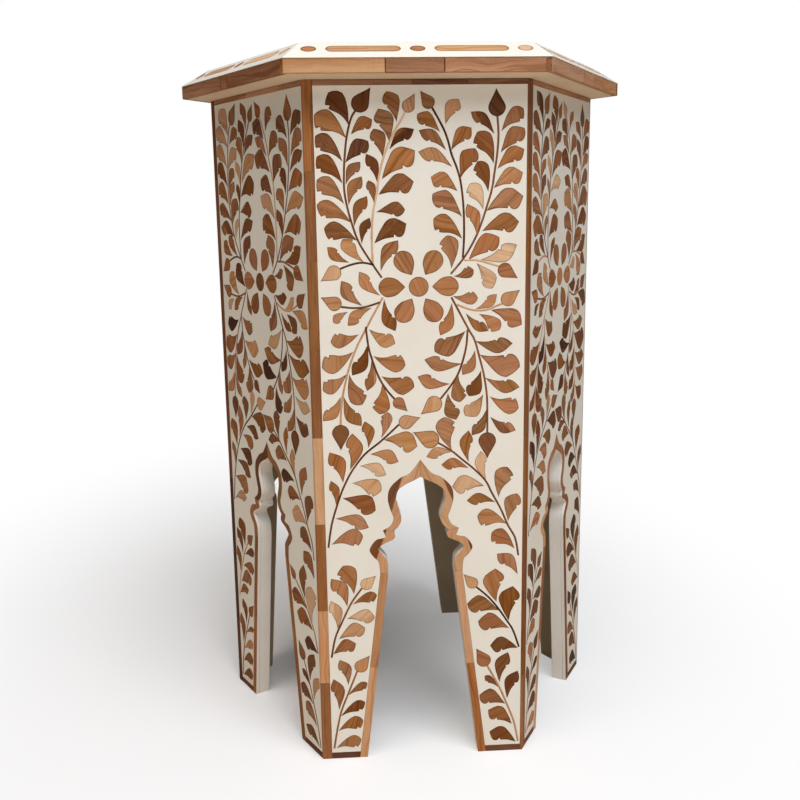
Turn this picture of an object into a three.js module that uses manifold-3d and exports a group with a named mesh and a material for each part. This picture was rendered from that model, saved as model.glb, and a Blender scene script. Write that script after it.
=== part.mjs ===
// A six-sided kursi stool: a tall side table of inlaid wood.
// Six upright boards, mitred at the corners, carry a bevelled top.
// Each board is faced with a skin of cast white resin, framed by thin teak
// strips and cut through by a cusped arch that leaves two tapering legs.
// Units are millimetres, +Z is up, and the origin lies on the floor under the middle of the top.
import * as THREE from 'three';
import { mergeVertices } from 'three/addons/utils/BufferGeometryUtils.js';
import Module from 'manifold-3d';

// Body: each side of the hexagon is one panel.
const sideWidth = 180;
const panelHeight = 585;
const wallThickness = 15;
const skinThickness = 3.2;
const glueLine = 0.3;

// Teak strips that frame each face.
const cornerStripWidth = 8;
const topTrimHeight = 4.2;
const footTrimHeight = 6;

// Arch: it leaves two legs of this width at the floor, and rises to its point.
const legFootWidth = 40;
const archHeight = 260.5;
const archTrimWidth = 7;
// Half of the arch outline from the foot up to the point. Each row gives the
// place of the wood's inner edge, as shares of the arch's half width at the
// floor and of its height, then the direction in degrees and the share of the
// trim's width to its outer edge.
const archFootShares = [1, 0, 0, 1];
const archLobeShares = [
  [0.576, 0.668, 7, 1],
  [0.588, 0.714, -4, 1.08],
  [0.684, 0.741, -25, 1.07],
  [0.738, 0.7585, -6, 1.1],
  [0.63, 0.775, 22, 1.2],
  [0.48, 0.788, 9, 1.4],
  [0.444, 0.8, -4, 1.16],
];
const archHeadShares = [
  [0.476, 0.816, 9, 1.3],
  [0.38, 0.8345, 5, 1.04],
  [0.334, 0.859, 6, 0.98],
  [0.372, 0.8906, -10, 1],
  [0.42, 0.921, 8, 1.02],
  [0.388, 0.955, 20, 1.05],
  [0.27, 0.974, 57, 1.07],
  [0.12, 0.988, 66, 1.07],
  [0, 1, 90, 2.2],
];
const archStepsPerSpan = 2;

// Rosette: a disc and six petals, let into the resin above the arch.
const rosetteRiseShare = 0.48;
const rosetteDiscRadius = 8.1;
const petalStart = 11.3;
const petalLength = 21.5;
const petalWidth = 16;
const petalCount = 6;
// Half of a petal from its point outwards: share of its length, share of its width.
const petalHalfShares = [[0.3, 0.38], [0.68, 0.5], [0.92, 0.31]];

// Top: a bevelled board, edged with teak and capped with resin.
const topOverhang = 22.5;
// The underside climbs by this much from the panels out to the band's lower edge.
const soffitRise = 1.9;
const bandHeight = 10.7;
const bandThickness = 4.3;
const capRim = 0.6;
const capThickness = 3;
const bevelRun = 21;
const bevelRise = 13.6;

// Inlay of each bevel: dot, bar, dot, bar, dot.
const dotLength = 12;
const dotWidth = 9.6;
const barWidth = 10;
const inlayGap = 7;
const inlayEndMargin = 6.5;
const inlayRiseShare = 0.55;
const dotSteps = 8;
const barEndSteps = 4;

// Medallion in the middle of the top: the panels' rosette, larger.
const medallionScaleShare = 1.9;

// Thin web that holds the pieces of one inlay together behind the resin.
const webThickness = 0.5;
const webWidth = 5;

// Batten frame glued inside the panels, under the top.
const battenWidth = 20;
const battenHeight = 20;

// How far a cutting solid reaches past what it cuts.
const overrun = 2;

const sideNames = ['front', 'front_right', 'back_right', 'back', 'back_left', 'front_left'];
const bayTurn = 2 * Math.PI / sideNames.length;
// At a corner, one step into the wall shifts the mitre along the panel by this share.
const mitreShare = Math.tan(bayTurn / 2);
const toApothem = 1 / (2 * mitreShare);
const bodyApothem = sideWidth * toApothem;
const archHalfWidth = sideWidth / 2 - legFootWidth;
const topApothem = bodyApothem + topOverhang;
const topSide = topApothem / toApothem;

const finishes = {
  painted: { color: 0xd9d3c4, roughness: 0.55, metalness: 0 },
  resin: { color: 0xf0e9dc, roughness: 0.35, metalness: 0 },
  teak: { color: 0xa8703f, roughness: 0.5, metalness: 0 },
  darkTeak: { color: 0x6e4526, roughness: 0.5, metalness: 0 },
  battenWood: { color: 0xb59468, roughness: 0.8, metalness: 0 },
};

const wasm = await Module();
wasm.setup();

// A closed three.js geometry as a solid that can be cut or joined.
function toSolid(geometry) {
  const bare = geometry.clone();
  bare.deleteAttribute('normal');
  bare.deleteAttribute('uv');
  const merged = mergeVertices(bare);
  const corners = merged.index.array;
  const triVerts = [];
  for (let i = 0; i < corners.length; i += 3) {
    const triangle = [corners[i], corners[i + 1], corners[i + 2]];
    if (new Set(triangle).size === 3) triVerts.push(...triangle);
  }
  return new wasm.Manifold(new wasm.Mesh({
    numProp: 3,
    vertProperties: merged.attributes.position.array,
    triVerts: new Uint32Array(triVerts),
  }));
}

function toGeometry(solid) {
  const mesh = solid.getMesh();
  const geometry = new THREE.BufferGeometry();
  geometry.setAttribute('position', new THREE.BufferAttribute(mesh.vertProperties, 3));
  geometry.setIndex(new THREE.BufferAttribute(mesh.triVerts, 1));
  return geometry;
}

function cut(geometry, ...cutters) {
  return toGeometry(cutters.reduce((solid, cutter) => solid.subtract(toSolid(cutter)), toSolid(geometry)));
}

function join(geometries) {
  return toGeometry(geometries.map(toSolid).reduce((joined, solid) => joined.add(solid)));
}

const point = (x, y) => new THREE.Vector2(x, y);

// Points round part of a circle or ellipse. A whole turn leaves out its last point.
function arc(centreX, centreY, radiusX, radiusY, from, sweep, steps) {
  const count = sweep < 2 * Math.PI ? steps + 1 : steps;
  return Array.from({ length: count }, (_, i) => {
    const turn = from + sweep * i / steps;
    return point(centreX + Math.cos(turn) * radiusX, centreY + Math.sin(turn) * radiusY);
  });
}

// An outline drawn in X and Y becomes a solid between two heights.
function extrude(outline, fromHeight, toHeight) {
  const depth = toHeight - fromHeight;
  const solid = new THREE.ExtrudeGeometry(new THREE.Shape(outline), { depth, bevelEnabled: false });
  solid.translate(0, 0, fromHeight);
  return solid;
}

// A panel's own frame: X runs along its face from the left corner, seen from
// outside, Y runs into the wall from the face and Z runs up. Here a solid drawn
// flat, face up, is stood up with its back at the given depth in the wall.
function standInWall(solid, backDepth, x = 0, z = 0) {
  solid.rotateX(Math.PI / 2);
  solid.translate(x, backDepth, z);
  return solid;
}

function plateInWall(outline, fromDepth, toDepth) {
  return standInWall(extrude(outline, 0, toDepth - fromDepth), toDepth);
}

function rectangle(left, bottom, right, top) {
  return [point(left, bottom), point(right, bottom), point(right, top), point(left, top)];
}

// The two edges of the arch's trim on the left half of a panel, point by point
// from the foot to the peak: the opening's edge and the resin's edge.
function archEdges(outerGrowth = 0) {
  const innerPoint = ([width, height]) => point(
    sideWidth / 2 - width * archHalfWidth,
    height * archHeight,
  );
  const outerPoint = (row) => {
    const angle = THREE.MathUtils.degToRad(row[2]);
    const reach = row[3] * archTrimWidth + outerGrowth;
    return innerPoint(row).add(point(-Math.cos(angle) * reach, Math.sin(angle) * reach));
  };
  const smooth = (rows, toPoint) => {
    const curve = new THREE.SplineCurve(rows.map(toPoint));
    return curve.getPoints(archStepsPerSpan * (rows.length - 1));
  };
  const edge = (toPoint) => [
    toPoint(archFootShares),
    ...smooth(archLobeShares, toPoint),
    ...smooth(archHeadShares, toPoint),
  ];
  return { inner: edge(innerPoint), outer: edge(outerPoint) };
}

// Both halves of an arch line, from the left foot over the peak to the right foot.
function wholeArch(leftHalf) {
  const rightHalf = leftHalf.slice(0, -1).map((p) => point(sideWidth - p.x, p.y));
  return [...leftHalf, ...rightHalf.reverse()];
}

// Place of an arch line at a height within its straight leg.
function legEdgeAt(edge, height) {
  const [foot, legTop] = edge;
  return foot.clone().lerp(legTop, height / (legTop.y - foot.y));
}

const clearDepth = skinThickness + glueLine;
const mitreGap = glueLine / 2 / Math.cos(bayTurn / 2);
// Width of the neighbouring strip's edge that shows at the right end of a face:
// the resin stops at the end of its board.
const stripEdge = skinThickness * mitreShare;
const fieldLeft = cornerStripWidth + glueLine;
const fieldRight = sideWidth - stripEdge - glueLine;
const panelTop = panelHeight - glueLine;
const fieldTop = panelTop - topTrimHeight - glueLine;
const fieldFoot = footTrimHeight + glueLine;
const resinEdge = archEdges(glueLine).outer;

// Board: the arch cut out of a plank whose ends are mitred.
function panelBoard() {
  const face = [
    point(0, 0),
    ...wholeArch(archEdges().inner),
    point(sideWidth, 0),
    point(sideWidth, panelTop),
    point(0, panelTop),
  ];
  const plank = plateInWall(face, clearDepth, wallThickness);
  const nearDepth = clearDepth - overrun;
  const farDepth = wallThickness + overrun;
  const endAt = (depth) => depth * mitreShare + mitreGap;
  const section = [
    point(endAt(nearDepth), nearDepth),
    point(sideWidth - endAt(nearDepth), nearDepth),
    point(sideWidth - endAt(farDepth), farDepth),
    point(endAt(farDepth), farDepth),
  ];
  const mitred = extrude(section, -overrun, panelHeight + overrun);
  return toGeometry(toSolid(plank).intersect(toSolid(mitred)));
}

// Rosette, lying face up with its back at height 0: a disc and petals that
// reach through the resin, on a thin round web. A growth turns it into the
// pocket that it is let into.
function rosette(scale, thickness, growth = 0) {
  const reach = growth > 0 ? overrun : 0;
  const circle = (radius) => arc(0, 0, radius, radius, 0, 2 * Math.PI, 2 * petalCount);
  const start = petalStart * scale - 2 * growth;
  const length = petalLength * scale + 3 * growth;
  const width = petalWidth * scale + 2 * growth;
  const oneSide = petalHalfShares.map(([along, out]) => point(start + along * length, -out * width));
  const otherSide = oneSide.map((p) => point(p.x, -p.y)).reverse();
  const petalOutline = [point(start, 0), ...oneSide, point(start + length, 0), ...otherSide];
  const web = circle((petalStart + petalLength / 2) * scale + growth);
  const pieces = [
    extrude(web, -reach, webThickness + growth),
    extrude(circle(rosetteDiscRadius * scale + growth), -reach, thickness + reach),
  ];
  for (let i = 0; i < petalCount; i += 1) {
    const petal = extrude(petalOutline, -reach, thickness + reach);
    petal.rotateZ(2 * Math.PI * i / petalCount);
    pieces.push(petal);
  }
  return join(pieces);
}

const archPeak = resinEdge.at(-1).y;
const rosetteHeight = archPeak + (fieldTop - archPeak) * rosetteRiseShare;

function panelRosette(growth = 0) {
  return standInWall(rosette(1, skinThickness, growth), skinThickness, sideWidth / 2, rosetteHeight);
}

// Resin skin: fills the face between the strips, with a pocket for the rosette.
function resinSkin() {
  const aboveFoot = [legEdgeAt(resinEdge, fieldFoot), ...resinEdge.slice(1)];
  const field = [
    point(fieldLeft, fieldFoot),
    ...wholeArch(aboveFoot),
    point(fieldRight, fieldFoot),
    point(fieldRight, fieldTop),
    point(fieldLeft, fieldTop),
  ];
  return cut(plateInWall(field, 0, skinThickness), panelRosette(glueLine));
}

// Arch trim: a teak strip that follows the opening from foot to foot.
function archTrim() {
  const { inner, outer } = archEdges();
  return plateInWall([...wholeArch(outer), ...wholeArch(inner).reverse()], 0, skinThickness);
}

// Corner strip: runs up the left end of the face and fills the corner up to the
// neighbour's resin. Its outer edge is planed flush with the neighbouring face.
function cornerStrip() {
  const section = [
    point(0, 0),
    point(cornerStripWidth, 0),
    point(cornerStripWidth, skinThickness),
    point(stripEdge, skinThickness),
    point(-stripEdge * Math.cos(bayTurn), stripEdge * Math.sin(bayTurn)),
  ];
  return extrude(section, 0, panelTop);
}

// Top trim: a dark strip right under the top.
function topTrim() {
  return plateInWall(rectangle(fieldLeft, panelTop - topTrimHeight, fieldRight, panelTop), 0, skinThickness);
}

// Foot trims: a dark strip across the bottom of each leg.
const resinFoot = legEdgeAt(resinEdge, 0);
const resinAboveFoot = legEdgeAt(resinEdge, footTrimHeight);

function leftFootTrim() {
  const outline = [point(fieldLeft, 0), resinFoot, resinAboveFoot, point(fieldLeft, footTrimHeight)];
  return plateInWall(outline, 0, skinThickness);
}

function rightFootTrim() {
  const outline = [
    point(sideWidth - resinFoot.x, 0),
    point(fieldRight, 0),
    point(fieldRight, footTrimHeight),
    point(sideWidth - resinAboveFoot.x, footTrimHeight),
  ];
  return plateInWall(outline, 0, skinThickness);
}

// A six-sided solid from its profile of apothems and heights, from axis to axis.
function hexagonal(profile) {
  const cornerPerApothem = 1 / Math.cos(bayTurn / 2);
  const points = profile.map(([apothem, height]) => point(apothem * cornerPerApothem, height));
  const solid = new THREE.LatheGeometry(points, sideNames.length, bayTurn / 2);
  solid.rotateX(Math.PI / 2);
  return solid;
}

// Batten frame: joins the panels to each other and to the top.
function battenFrame() {
  const outside = bodyApothem - wallThickness - glueLine;
  const inside = outside - battenWidth;
  const bottom = panelTop - battenHeight;
  const frame = hexagonal([[0, bottom], [outside, bottom], [outside, panelTop], [0, panelTop]]);
  const opening = hexagonal([
    [0, bottom - overrun],
    [inside, bottom - overrun],
    [inside, panelTop + overrun],
    [0, panelTop + overrun],
  ]);
  return cut(frame, opening);
}

const bevelAngle = Math.atan2(bevelRise, bevelRun);
const bandBottom = panelHeight + soffitRise;
const bandTop = bandBottom + bandHeight;
const capBottom = bandTop + glueLine;
const rimTop = capBottom + capRim;
const capTop = rimTop + bevelRise;
// Apothem at which a plane under the bevel, as far below it as the drop says, has a height.
const apothemUnderBevel = (height, drop) => topApothem - (height + drop - rimTop) / Math.tan(bevelAngle);
const capDrop = capThickness / Math.cos(bevelAngle);

// Top board: edged by the band, bevelled, and painted underneath. It rests on
// the panels, and its underside climbs from their faces out to the band.
function topBoard() {
  const boardApothem = topApothem - bandThickness - glueLine;
  const drop = capDrop + glueLine / Math.cos(bevelAngle);
  const boardTop = capTop - capThickness - glueLine;
  return hexagonal([
    [0, panelHeight],
    [bodyApothem, panelHeight],
    [boardApothem, bandBottom],
    [boardApothem, bandTop],
    [apothemUnderBevel(bandTop, drop), bandTop],
    [apothemUnderBevel(boardTop, drop), boardTop],
    [0, boardTop],
  ]);
}

// Edge band of one side, in the frame of a panel as wide as the top. Its left
// end runs out to the corner and covers the right end of its neighbour.
function edgeBand() {
  const covered = 2 * bandThickness * mitreShare + glueLine;
  const climb = bandThickness * mitreShare;
  const section = [
    point(0, 0),
    point(topSide - covered, 0),
    point(topSide - covered + climb, bandThickness),
    point(-climb, bandThickness),
  ];
  return extrude(section, bandBottom, bandTop);
}

// Inlay of one bevel, drawn flat and then laid on the slope of its side: dot,
// bar, dot, bar, dot and the web behind them. A growth turns it into the pockets.
function bevelInlay(bay, growth = 0) {
  const reach = growth > 0 ? overrun : 0;
  const rise = Math.hypot(bevelRun, bevelRise) * inlayRiseShare;
  const line = topSide - 2 * mitreShare * bevelRun * inlayRiseShare;
  const row = line - 2 * inlayEndMargin;
  const barLength = (row - 3 * dotLength - 4 * inlayGap) / 2;
  const endDot = (row - dotLength) / 2;
  const barCentre = (dotLength + barLength) / 2 + inlayGap;
  const dotOutline = (x) => {
    const radii = [dotLength / 2 + growth, dotWidth / 2 + growth];
    return arc(x, rise, ...radii, 0, 2 * Math.PI, dotSteps);
  };
  const barOutline = (x) => {
    const straight = (barLength - barWidth) / 2;
    const radius = barWidth / 2 + growth;
    return [
      ...arc(x + straight, rise, radius, radius, -Math.PI / 2, Math.PI, barEndSteps),
      ...arc(x - straight, rise, radius, radius, Math.PI / 2, Math.PI, barEndSteps),
    ];
  };
  const outlines = [...[-endDot, 0, endDot].map(dotOutline), ...[-barCentre, barCentre].map(barOutline)];
  const pieces = outlines.map((outline) => extrude(outline, -capThickness - reach, reach));
  // The webs of neighbouring sides cross under the hip between their bevels.
  const webEnd = line / 2 + growth;
  const webHalf = webWidth / 2 + growth;
  const web = rectangle(-webEnd, rise - webHalf, webEnd, rise + webHalf);
  pieces.push(extrude(web, -capThickness - reach, -capThickness + webThickness + growth));
  const inlay = join(pieces);
  inlay.rotateX(bevelAngle);
  inlay.translate(0, -topApothem, rimTop);
  inlay.rotateZ(bay * bayTurn);
  return inlay;
}

function allBevelInlays(growth = 0) {
  return join(sideNames.map((name, bay) => bevelInlay(bay, growth)));
}

function medallion(growth = 0) {
  const flat = rosette(medallionScaleShare, capThickness, growth);
  flat.translate(0, 0, capTop - capThickness);
  return flat;
}

// Resin cap: a shell cast over the board, with pockets for its inlays.
function resinCap() {
  const shell = hexagonal([
    [0, capBottom],
    [topApothem, capBottom],
    [topApothem, rimTop],
    [topApothem - bevelRun, capTop],
    [0, capTop],
  ]);
  const coreFoot = capBottom - overrun;
  const coreTop = capTop - capThickness;
  const core = hexagonal([
    [0, coreFoot],
    [apothemUnderBevel(coreFoot, capDrop), coreFoot],
    [apothemUnderBevel(coreTop, capDrop), coreTop],
    [0, coreTop],
  ]);
  return cut(shell, core, allBevelInlays(glueLine), medallion(glueLine));
}

const table = new THREE.Group();

function add(parent, name, geometry, finish) {
  const mesh = new THREE.Mesh(geometry, new THREE.MeshStandardMaterial(finishes[finish]));
  mesh.name = name;
  parent.add(mesh);
  return mesh;
}

sideNames.forEach((sideName, bay) => {
  const side = new THREE.Group();
  side.rotation.z = bay * bayTurn;
  table.add(side);

  const panel = new THREE.Group();
  panel.position.set(-sideWidth / 2, -bodyApothem, 0);
  side.add(panel);
  add(panel, `board_${sideName}`, panelBoard(), 'painted');
  add(panel, `resin_skin_${sideName}`, resinSkin(), 'resin');
  add(panel, `rosette_${sideName}`, panelRosette(), 'teak');
  add(panel, `arch_trim_${sideName}`, archTrim(), 'teak');
  add(panel, `corner_strip_${sideName}`, cornerStrip(), 'teak');
  add(panel, `top_trim_${sideName}`, topTrim(), 'darkTeak');
  add(panel, `foot_trim_left_${sideName}`, leftFootTrim(), 'darkTeak');
  add(panel, `foot_trim_right_${sideName}`, rightFootTrim(), 'darkTeak');

  const band = add(side, `edge_band_${sideName}`, edgeBand(), 'teak');
  band.position.set(-topSide / 2, -topApothem, 0);
});

add(table, 'batten_frame', battenFrame(), 'battenWood');
add(table, 'top_board', topBoard(), 'painted');
add(table, 'top_resin_cap', resinCap(), 'resin');
add(table, 'bevel_inlay', allBevelInlays(), 'teak');
add(table, 'top_medallion', medallion(), 'teak');

export default table;
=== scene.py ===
import math
import random

import bmesh
import bpy
from mathutils import Matrix, Vector
from mathutils.geometry import delaunay_2d_cdt


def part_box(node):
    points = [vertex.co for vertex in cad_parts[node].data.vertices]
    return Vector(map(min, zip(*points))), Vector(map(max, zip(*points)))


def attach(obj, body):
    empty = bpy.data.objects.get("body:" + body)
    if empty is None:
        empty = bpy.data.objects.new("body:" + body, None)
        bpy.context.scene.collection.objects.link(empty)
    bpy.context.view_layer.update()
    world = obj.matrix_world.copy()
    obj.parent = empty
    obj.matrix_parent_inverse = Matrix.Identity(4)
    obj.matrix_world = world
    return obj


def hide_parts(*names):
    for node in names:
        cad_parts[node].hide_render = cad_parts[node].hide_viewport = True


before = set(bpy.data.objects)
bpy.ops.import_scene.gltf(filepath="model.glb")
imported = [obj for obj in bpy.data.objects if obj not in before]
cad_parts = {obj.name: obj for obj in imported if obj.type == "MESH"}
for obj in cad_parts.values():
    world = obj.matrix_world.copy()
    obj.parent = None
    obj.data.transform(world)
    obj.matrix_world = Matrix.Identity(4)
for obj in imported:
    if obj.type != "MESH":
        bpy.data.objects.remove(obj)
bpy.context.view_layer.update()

# Panel boards
# The body is six upright boards, mitred together at the corners. A cusped arch is sawn
# through each of them, which leaves two tapering legs. The sawn edges are painted
# off-white, and the inside has a thin brown wash.
MM = 0.001
SIDES = ["front", "front_right", "back_right", "back", "back_left", "front_left"]
BAY_TURN = math.tau / len(SIDES)
MITRE = math.tan(BAY_TURN / 2)

apothem = -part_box("corner_strip_front")[0].y / MM
side = 2 * apothem * MITRE
board_low, board_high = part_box("board_front")
panel_top = board_high.z / MM
board_front = board_low.y / MM + apothem
board_back = board_high.y / MM + apothem
MITRE_GAP = 0.1
BOARD_ARRIS = 0.5

# The arch: each row has the place of its inner edge, as shares of its half width at the
# floor and of its height, then the direction in degrees and the share of the trim's width
# that lead to its outer edge.
ARCH_TRIM_WIDTH = 7
ARCH_FOOT = (1, 0, 0, 1)
ARCH_LOBE = [
    (0.576, 0.668, 7, 1),
    (0.588, 0.714, -4, 1.08),
    (0.684, 0.741, -25, 1.07),
    (0.738, 0.7585, -6, 1.1),
    (0.63, 0.775, 22, 1.2),
    (0.48, 0.788, 9, 1.4),
    (0.444, 0.8, -4, 1.16),
]
ARCH_HEAD = [
    (0.476, 0.816, 9, 1.3),
    (0.38, 0.8345, 5, 1.04),
    (0.334, 0.859, 6, 0.98),
    (0.372, 0.8906, -10, 1),
    (0.42, 0.921, 8, 1.02),
    (0.388, 0.955, 20, 1.05),
    (0.27, 0.974, 57, 1.07),
    (0.12, 0.988, 66, 1.07),
    (0, 1, 90, 2.2),
]
ARCH_STEPS = 5
arch_half_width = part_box("arch_trim_front")[1].x / MM - ARCH_TRIM_WIDTH
arch_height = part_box("arch_trim_front")[1].z / MM - ARCH_HEAD[-1][3] * ARCH_TRIM_WIDTH


def point(x, y):
    return Vector((x, y))


def smooth(points, steps):
    """A smooth line through points, with so many steps from each to the next."""
    last = len(points) - 1
    line = []
    for i in range(last):
        start, end = points[i], points[i + 1]
        leave = (end - points[max(i - 1, 0)]) / 2
        arrive = (points[min(i + 2, last)] - start) / 2
        for step in range(steps):
            t = step / steps
            bend = (2 * t**3 - 3 * t**2 + 1, t**3 - 2 * t**2 + t, 3 * t**2 - 2 * t**3, t**3 - t**2)
            line.append(start * bend[0] + leave * bend[1] + end * bend[2] + arrive * bend[3])
    return line + [points[last]]


def arch_edges(growth=0):
    """The inner and outer edges of the trim on the left half of the arch, from foot to peak."""

    def inner(row):
        return point(side / 2 - row[0] * arch_half_width, row[1] * arch_height)

    def outer(row):
        angle = math.radians(row[2])
        reach = row[3] * ARCH_TRIM_WIDTH + growth
        return inner(row) + point(-math.cos(angle), math.sin(angle)) * reach

    edges = []
    for place in (inner, outer):
        lobe = smooth([place(row) for row in ARCH_LOBE], ARCH_STEPS)
        head = smooth([place(row) for row in ARCH_HEAD], ARCH_STEPS)
        edges.append([place(ARCH_FOOT)] + lobe + head)
    return edges


def whole_arch(half):
    """Both halves of an arch line, from the left foot over the peak to the right foot."""
    return half + [point(side - p.x, p.y) for p in reversed(half[:-1])]


def at_height(outline, height):
    return [Vector((p.x, p.y, height)) for p in outline]


# Keeps the sharpest corners of an outline from running out too far when it grows.
LEAST_SPREAD = 0.6


def grown(outline, by):
    """A counter-clockwise outline moved outwards, or inwards where the distance is negative."""
    moved = []
    for i, corner in enumerate(outline):
        before = (corner - outline[i - 1]).normalized()
        after = (outline[(i + 1) % len(outline)] - corner).normalized()
        away = point(before.y + after.y, -before.x - after.x)
        if away.length < 1e-6:
            away = before
        away.normalize()
        spread = max(away.x * after.y - away.y * after.x, LEAST_SPREAD)
        moved.append(corner + away * by / spread)
    return moved


def loft(bm, rings):
    """Adds a closed solid through rings of points, from its underside to its face."""
    loops = [[bm.verts.new(p) for p in ring] for ring in rings]
    faces = [bm.faces.new(list(reversed(loops[0]))), bm.faces.new(loops[-1])]
    for low, high in zip(loops, loops[1:]):
        for i in range(len(low)):
            j = (i + 1) % len(low)
            faces.append(bm.faces.new((low[i], low[j], high[j], high[i])))
    return faces


def mesh_of(bm, *materials):
    mesh = bpy.data.meshes.new("drawing")
    bm.normal_update()
    bm.to_mesh(mesh)
    bm.free()
    for material in materials:
        mesh.materials.append(material)
    return mesh


def smooth_but_creased(mesh, degrees=35):
    """Shades a mesh smooth, apart from its edges that are sharper than this angle."""
    mesh.shade_smooth()
    mesh.set_sharp_from_angle(angle=math.radians(degrees))


def put(name, mesh, place, slot, *replaced):
    """Makes a mesh into a piece of the body, in its place."""
    mesh.name = name
    mesh.transform(place)
    mesh.update()
    piece = bpy.data.objects.new(name, mesh)
    bpy.context.scene.collection.objects.link(piece)
    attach(piece, "root")
    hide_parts(*replaced)
    return piece


def standing(bay, reach, width):
    """Takes a drawing, flat, face up and in millimetres, to its place on one side of the stool."""
    stand = Matrix.Translation((-width / 2, -reach, 0)) @ Matrix.Rotation(math.pi / 2, 4, "X")
    return Matrix.Rotation(bay * BAY_TURN, 4, "Z") @ Matrix.Scale(MM, 4) @ stand


def put_on_panel(bay, kind, mesh, slot, *replaced):
    """Puts a piece on one panel, in place of the panel's CAD nodes of the kinds named."""
    nodes = [f"{node_kind}_{SIDES[bay]}" for node_kind in replaced]
    return put(f"{kind}_{SIDES[bay]}", mesh, standing(bay, apothem, side), slot, *nodes)


def ease(piece, width):
    """Takes the sharp edges off a piece, as sandpaper does."""
    bevel = piece.modifiers.new("eased edges", "BEVEL")
    bevel.width = width * MM
    bevel.segments = 2
    bevel.limit_method = "ANGLE"
    bevel.angle_limit = math.radians(50)


def node(tree, kind, inputs=None, **settings):
    """Adds a node, whose inputs are values or other nodes' outputs, and gives its outputs."""
    made = tree.nodes.new(kind)
    for name, value in settings.items():
        setattr(made, name, value)
    for name, value in (inputs or {}).items():
        if isinstance(value, bpy.types.NodeSocket):
            tree.links.new(value, made.inputs[name])
        else:
            made.inputs[name].default_value = value
    return made.outputs


def math_node(tree, operation, *values, clamp=False):
    inputs = dict(enumerate(values))
    return node(tree, "ShaderNodeMath", inputs, operation=operation, use_clamp=clamp)[0]


def times_plus(tree, value, times, plus, clamp=False):
    return math_node(tree, "MULTIPLY_ADD", value, times, plus, clamp=clamp)


def vector_math(tree, operation, *values):
    return node(tree, "ShaderNodeVectorMath", dict(enumerate(values)), operation=operation)[0]


def vector_of(tree, x, y, z):
    return node(tree, "ShaderNodeCombineXYZ", {0: x, 1: y, 2: z})[0]


def noise(tree, position, scale, detail=2.0, roughness=0.5):
    inputs = {"Vector": position, "Scale": scale, "Detail": detail, "Roughness": roughness}
    return node(tree, "ShaderNodeTexNoise", inputs)["Fac"]


def between(tree, value, low, high):
    """0 where a value is low, 1 where it is high, and smooth between them."""
    inputs = {"Value": value, "From Min": low, "From Max": high}
    return node(tree, "ShaderNodeMapRange", inputs, interpolation_type="SMOOTHSTEP")[0]


def mixed(tree, share, first, second):
    """A colour between two others."""
    return node(tree, "ShaderNodeMix", {0: share, 6: first, 7: second}, data_type="RGBA")[2]


def node_group(name, family, inputs, outputs):
    """An empty node group with sockets of the kinds named, and what it will be given."""
    group = bpy.data.node_groups.new(name, family)
    for way, sockets in (("INPUT", inputs), ("OUTPUT", outputs)):
        for socket, kind in sockets.items():
            group.interface.new_socket(socket, in_out=way, socket_type=f"NodeSocket{kind}")
    return group, group.nodes.new("NodeGroupInput").outputs


def put_out(group, **results):
    """Sends results out of a node group."""
    end = group.nodes.new("NodeGroupOutput")
    for name, result in results.items():
        group.links.new(result, end.inputs[name])


# What both groups of surface marks put out.
SURFACE = {"Color": "Color", "Uneven": "Float", "Height": "Float"}


def coat_group():
    """Paint or cast resin: faint clouds, specks, and the marks of brush or sandpaper.

    The noises are scaled per metre, so the clouds are about 5 cm wide and the specks 2 mm.
    """
    inputs = {"Position": "Vector", "Pale": "Color", "Deep": "Color", "Stroke Length": "Float"}
    group, given = node_group("coat_marks", "ShaderNodeTree", inputs, SURFACE)
    position = given["Position"]
    clouds = noise(group, position, 21, detail=3, roughness=0.55)
    fine = noise(group, position, 340)
    stretch = vector_of(group, 900, 900, given["Stroke Length"])
    strokes = noise(group, vector_math(group, "MULTIPLY", position, stretch), 1)
    speck = between(group, noise(group, position, 610, detail=0), 0.77, 0.81)
    deep_share = times_plus(group, clouds, 1.6, -0.3, clamp=True)
    deep_share = times_plus(group, fine, 0.2, deep_share, clamp=True)
    deep_share = times_plus(group, speck, 0.6, deep_share, clamp=True)
    put_out(
        group,
        Color=mixed(group, deep_share, given["Pale"], given["Deep"]),
        Uneven=times_plus(group, clouds, 0.6, strokes),
        Height=times_plus(group, speck, -0.8, times_plus(group, strokes, 0.5, fine)),
    )
    return group


coat_marks = coat_group()
RELIEF_DEPTH = 0.0002


def empty_material(name):
    material = bpy.data.materials.new(name)
    material.use_nodes = True
    material.node_tree.nodes.clear()
    return material


def finish(tree, colour, rough, height, relief, gloss):
    """Ends a material: its colour, how rough it is, and its relief, which catches the light."""
    inputs = {"Height": height, "Strength": relief, "Distance": RELIEF_DEPTH}
    normal = node(tree, "ShaderNodeBump", inputs)[0]
    inputs = {"Base Color": colour, "Roughness": rough, "Normal": normal, "Specular IOR Level": gloss}
    shader = node(tree, "ShaderNodeBsdfPrincipled", inputs)[0]
    node(tree, "ShaderNodeOutputMaterial", {"Surface": shader})


def coated(name, pale, deep, stroke_length, roughness, relief, gloss):
    """A painted or cast surface."""
    material = empty_material(name)
    tree = material.node_tree
    inputs = {
        "Position": node(tree, "ShaderNodeTexCoord")["Object"],
        "Pale": (*pale, 1),
        "Deep": (*deep, 1),
        "Stroke Length": stroke_length,
    }
    marks = node(tree, "ShaderNodeGroup", inputs, node_tree=coat_marks)
    rough = times_plus(tree, marks["Uneven"], 0.14, roughness)
    finish(tree, marks["Color"], rough, marks["Height"], relief, gloss)
    return material


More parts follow.
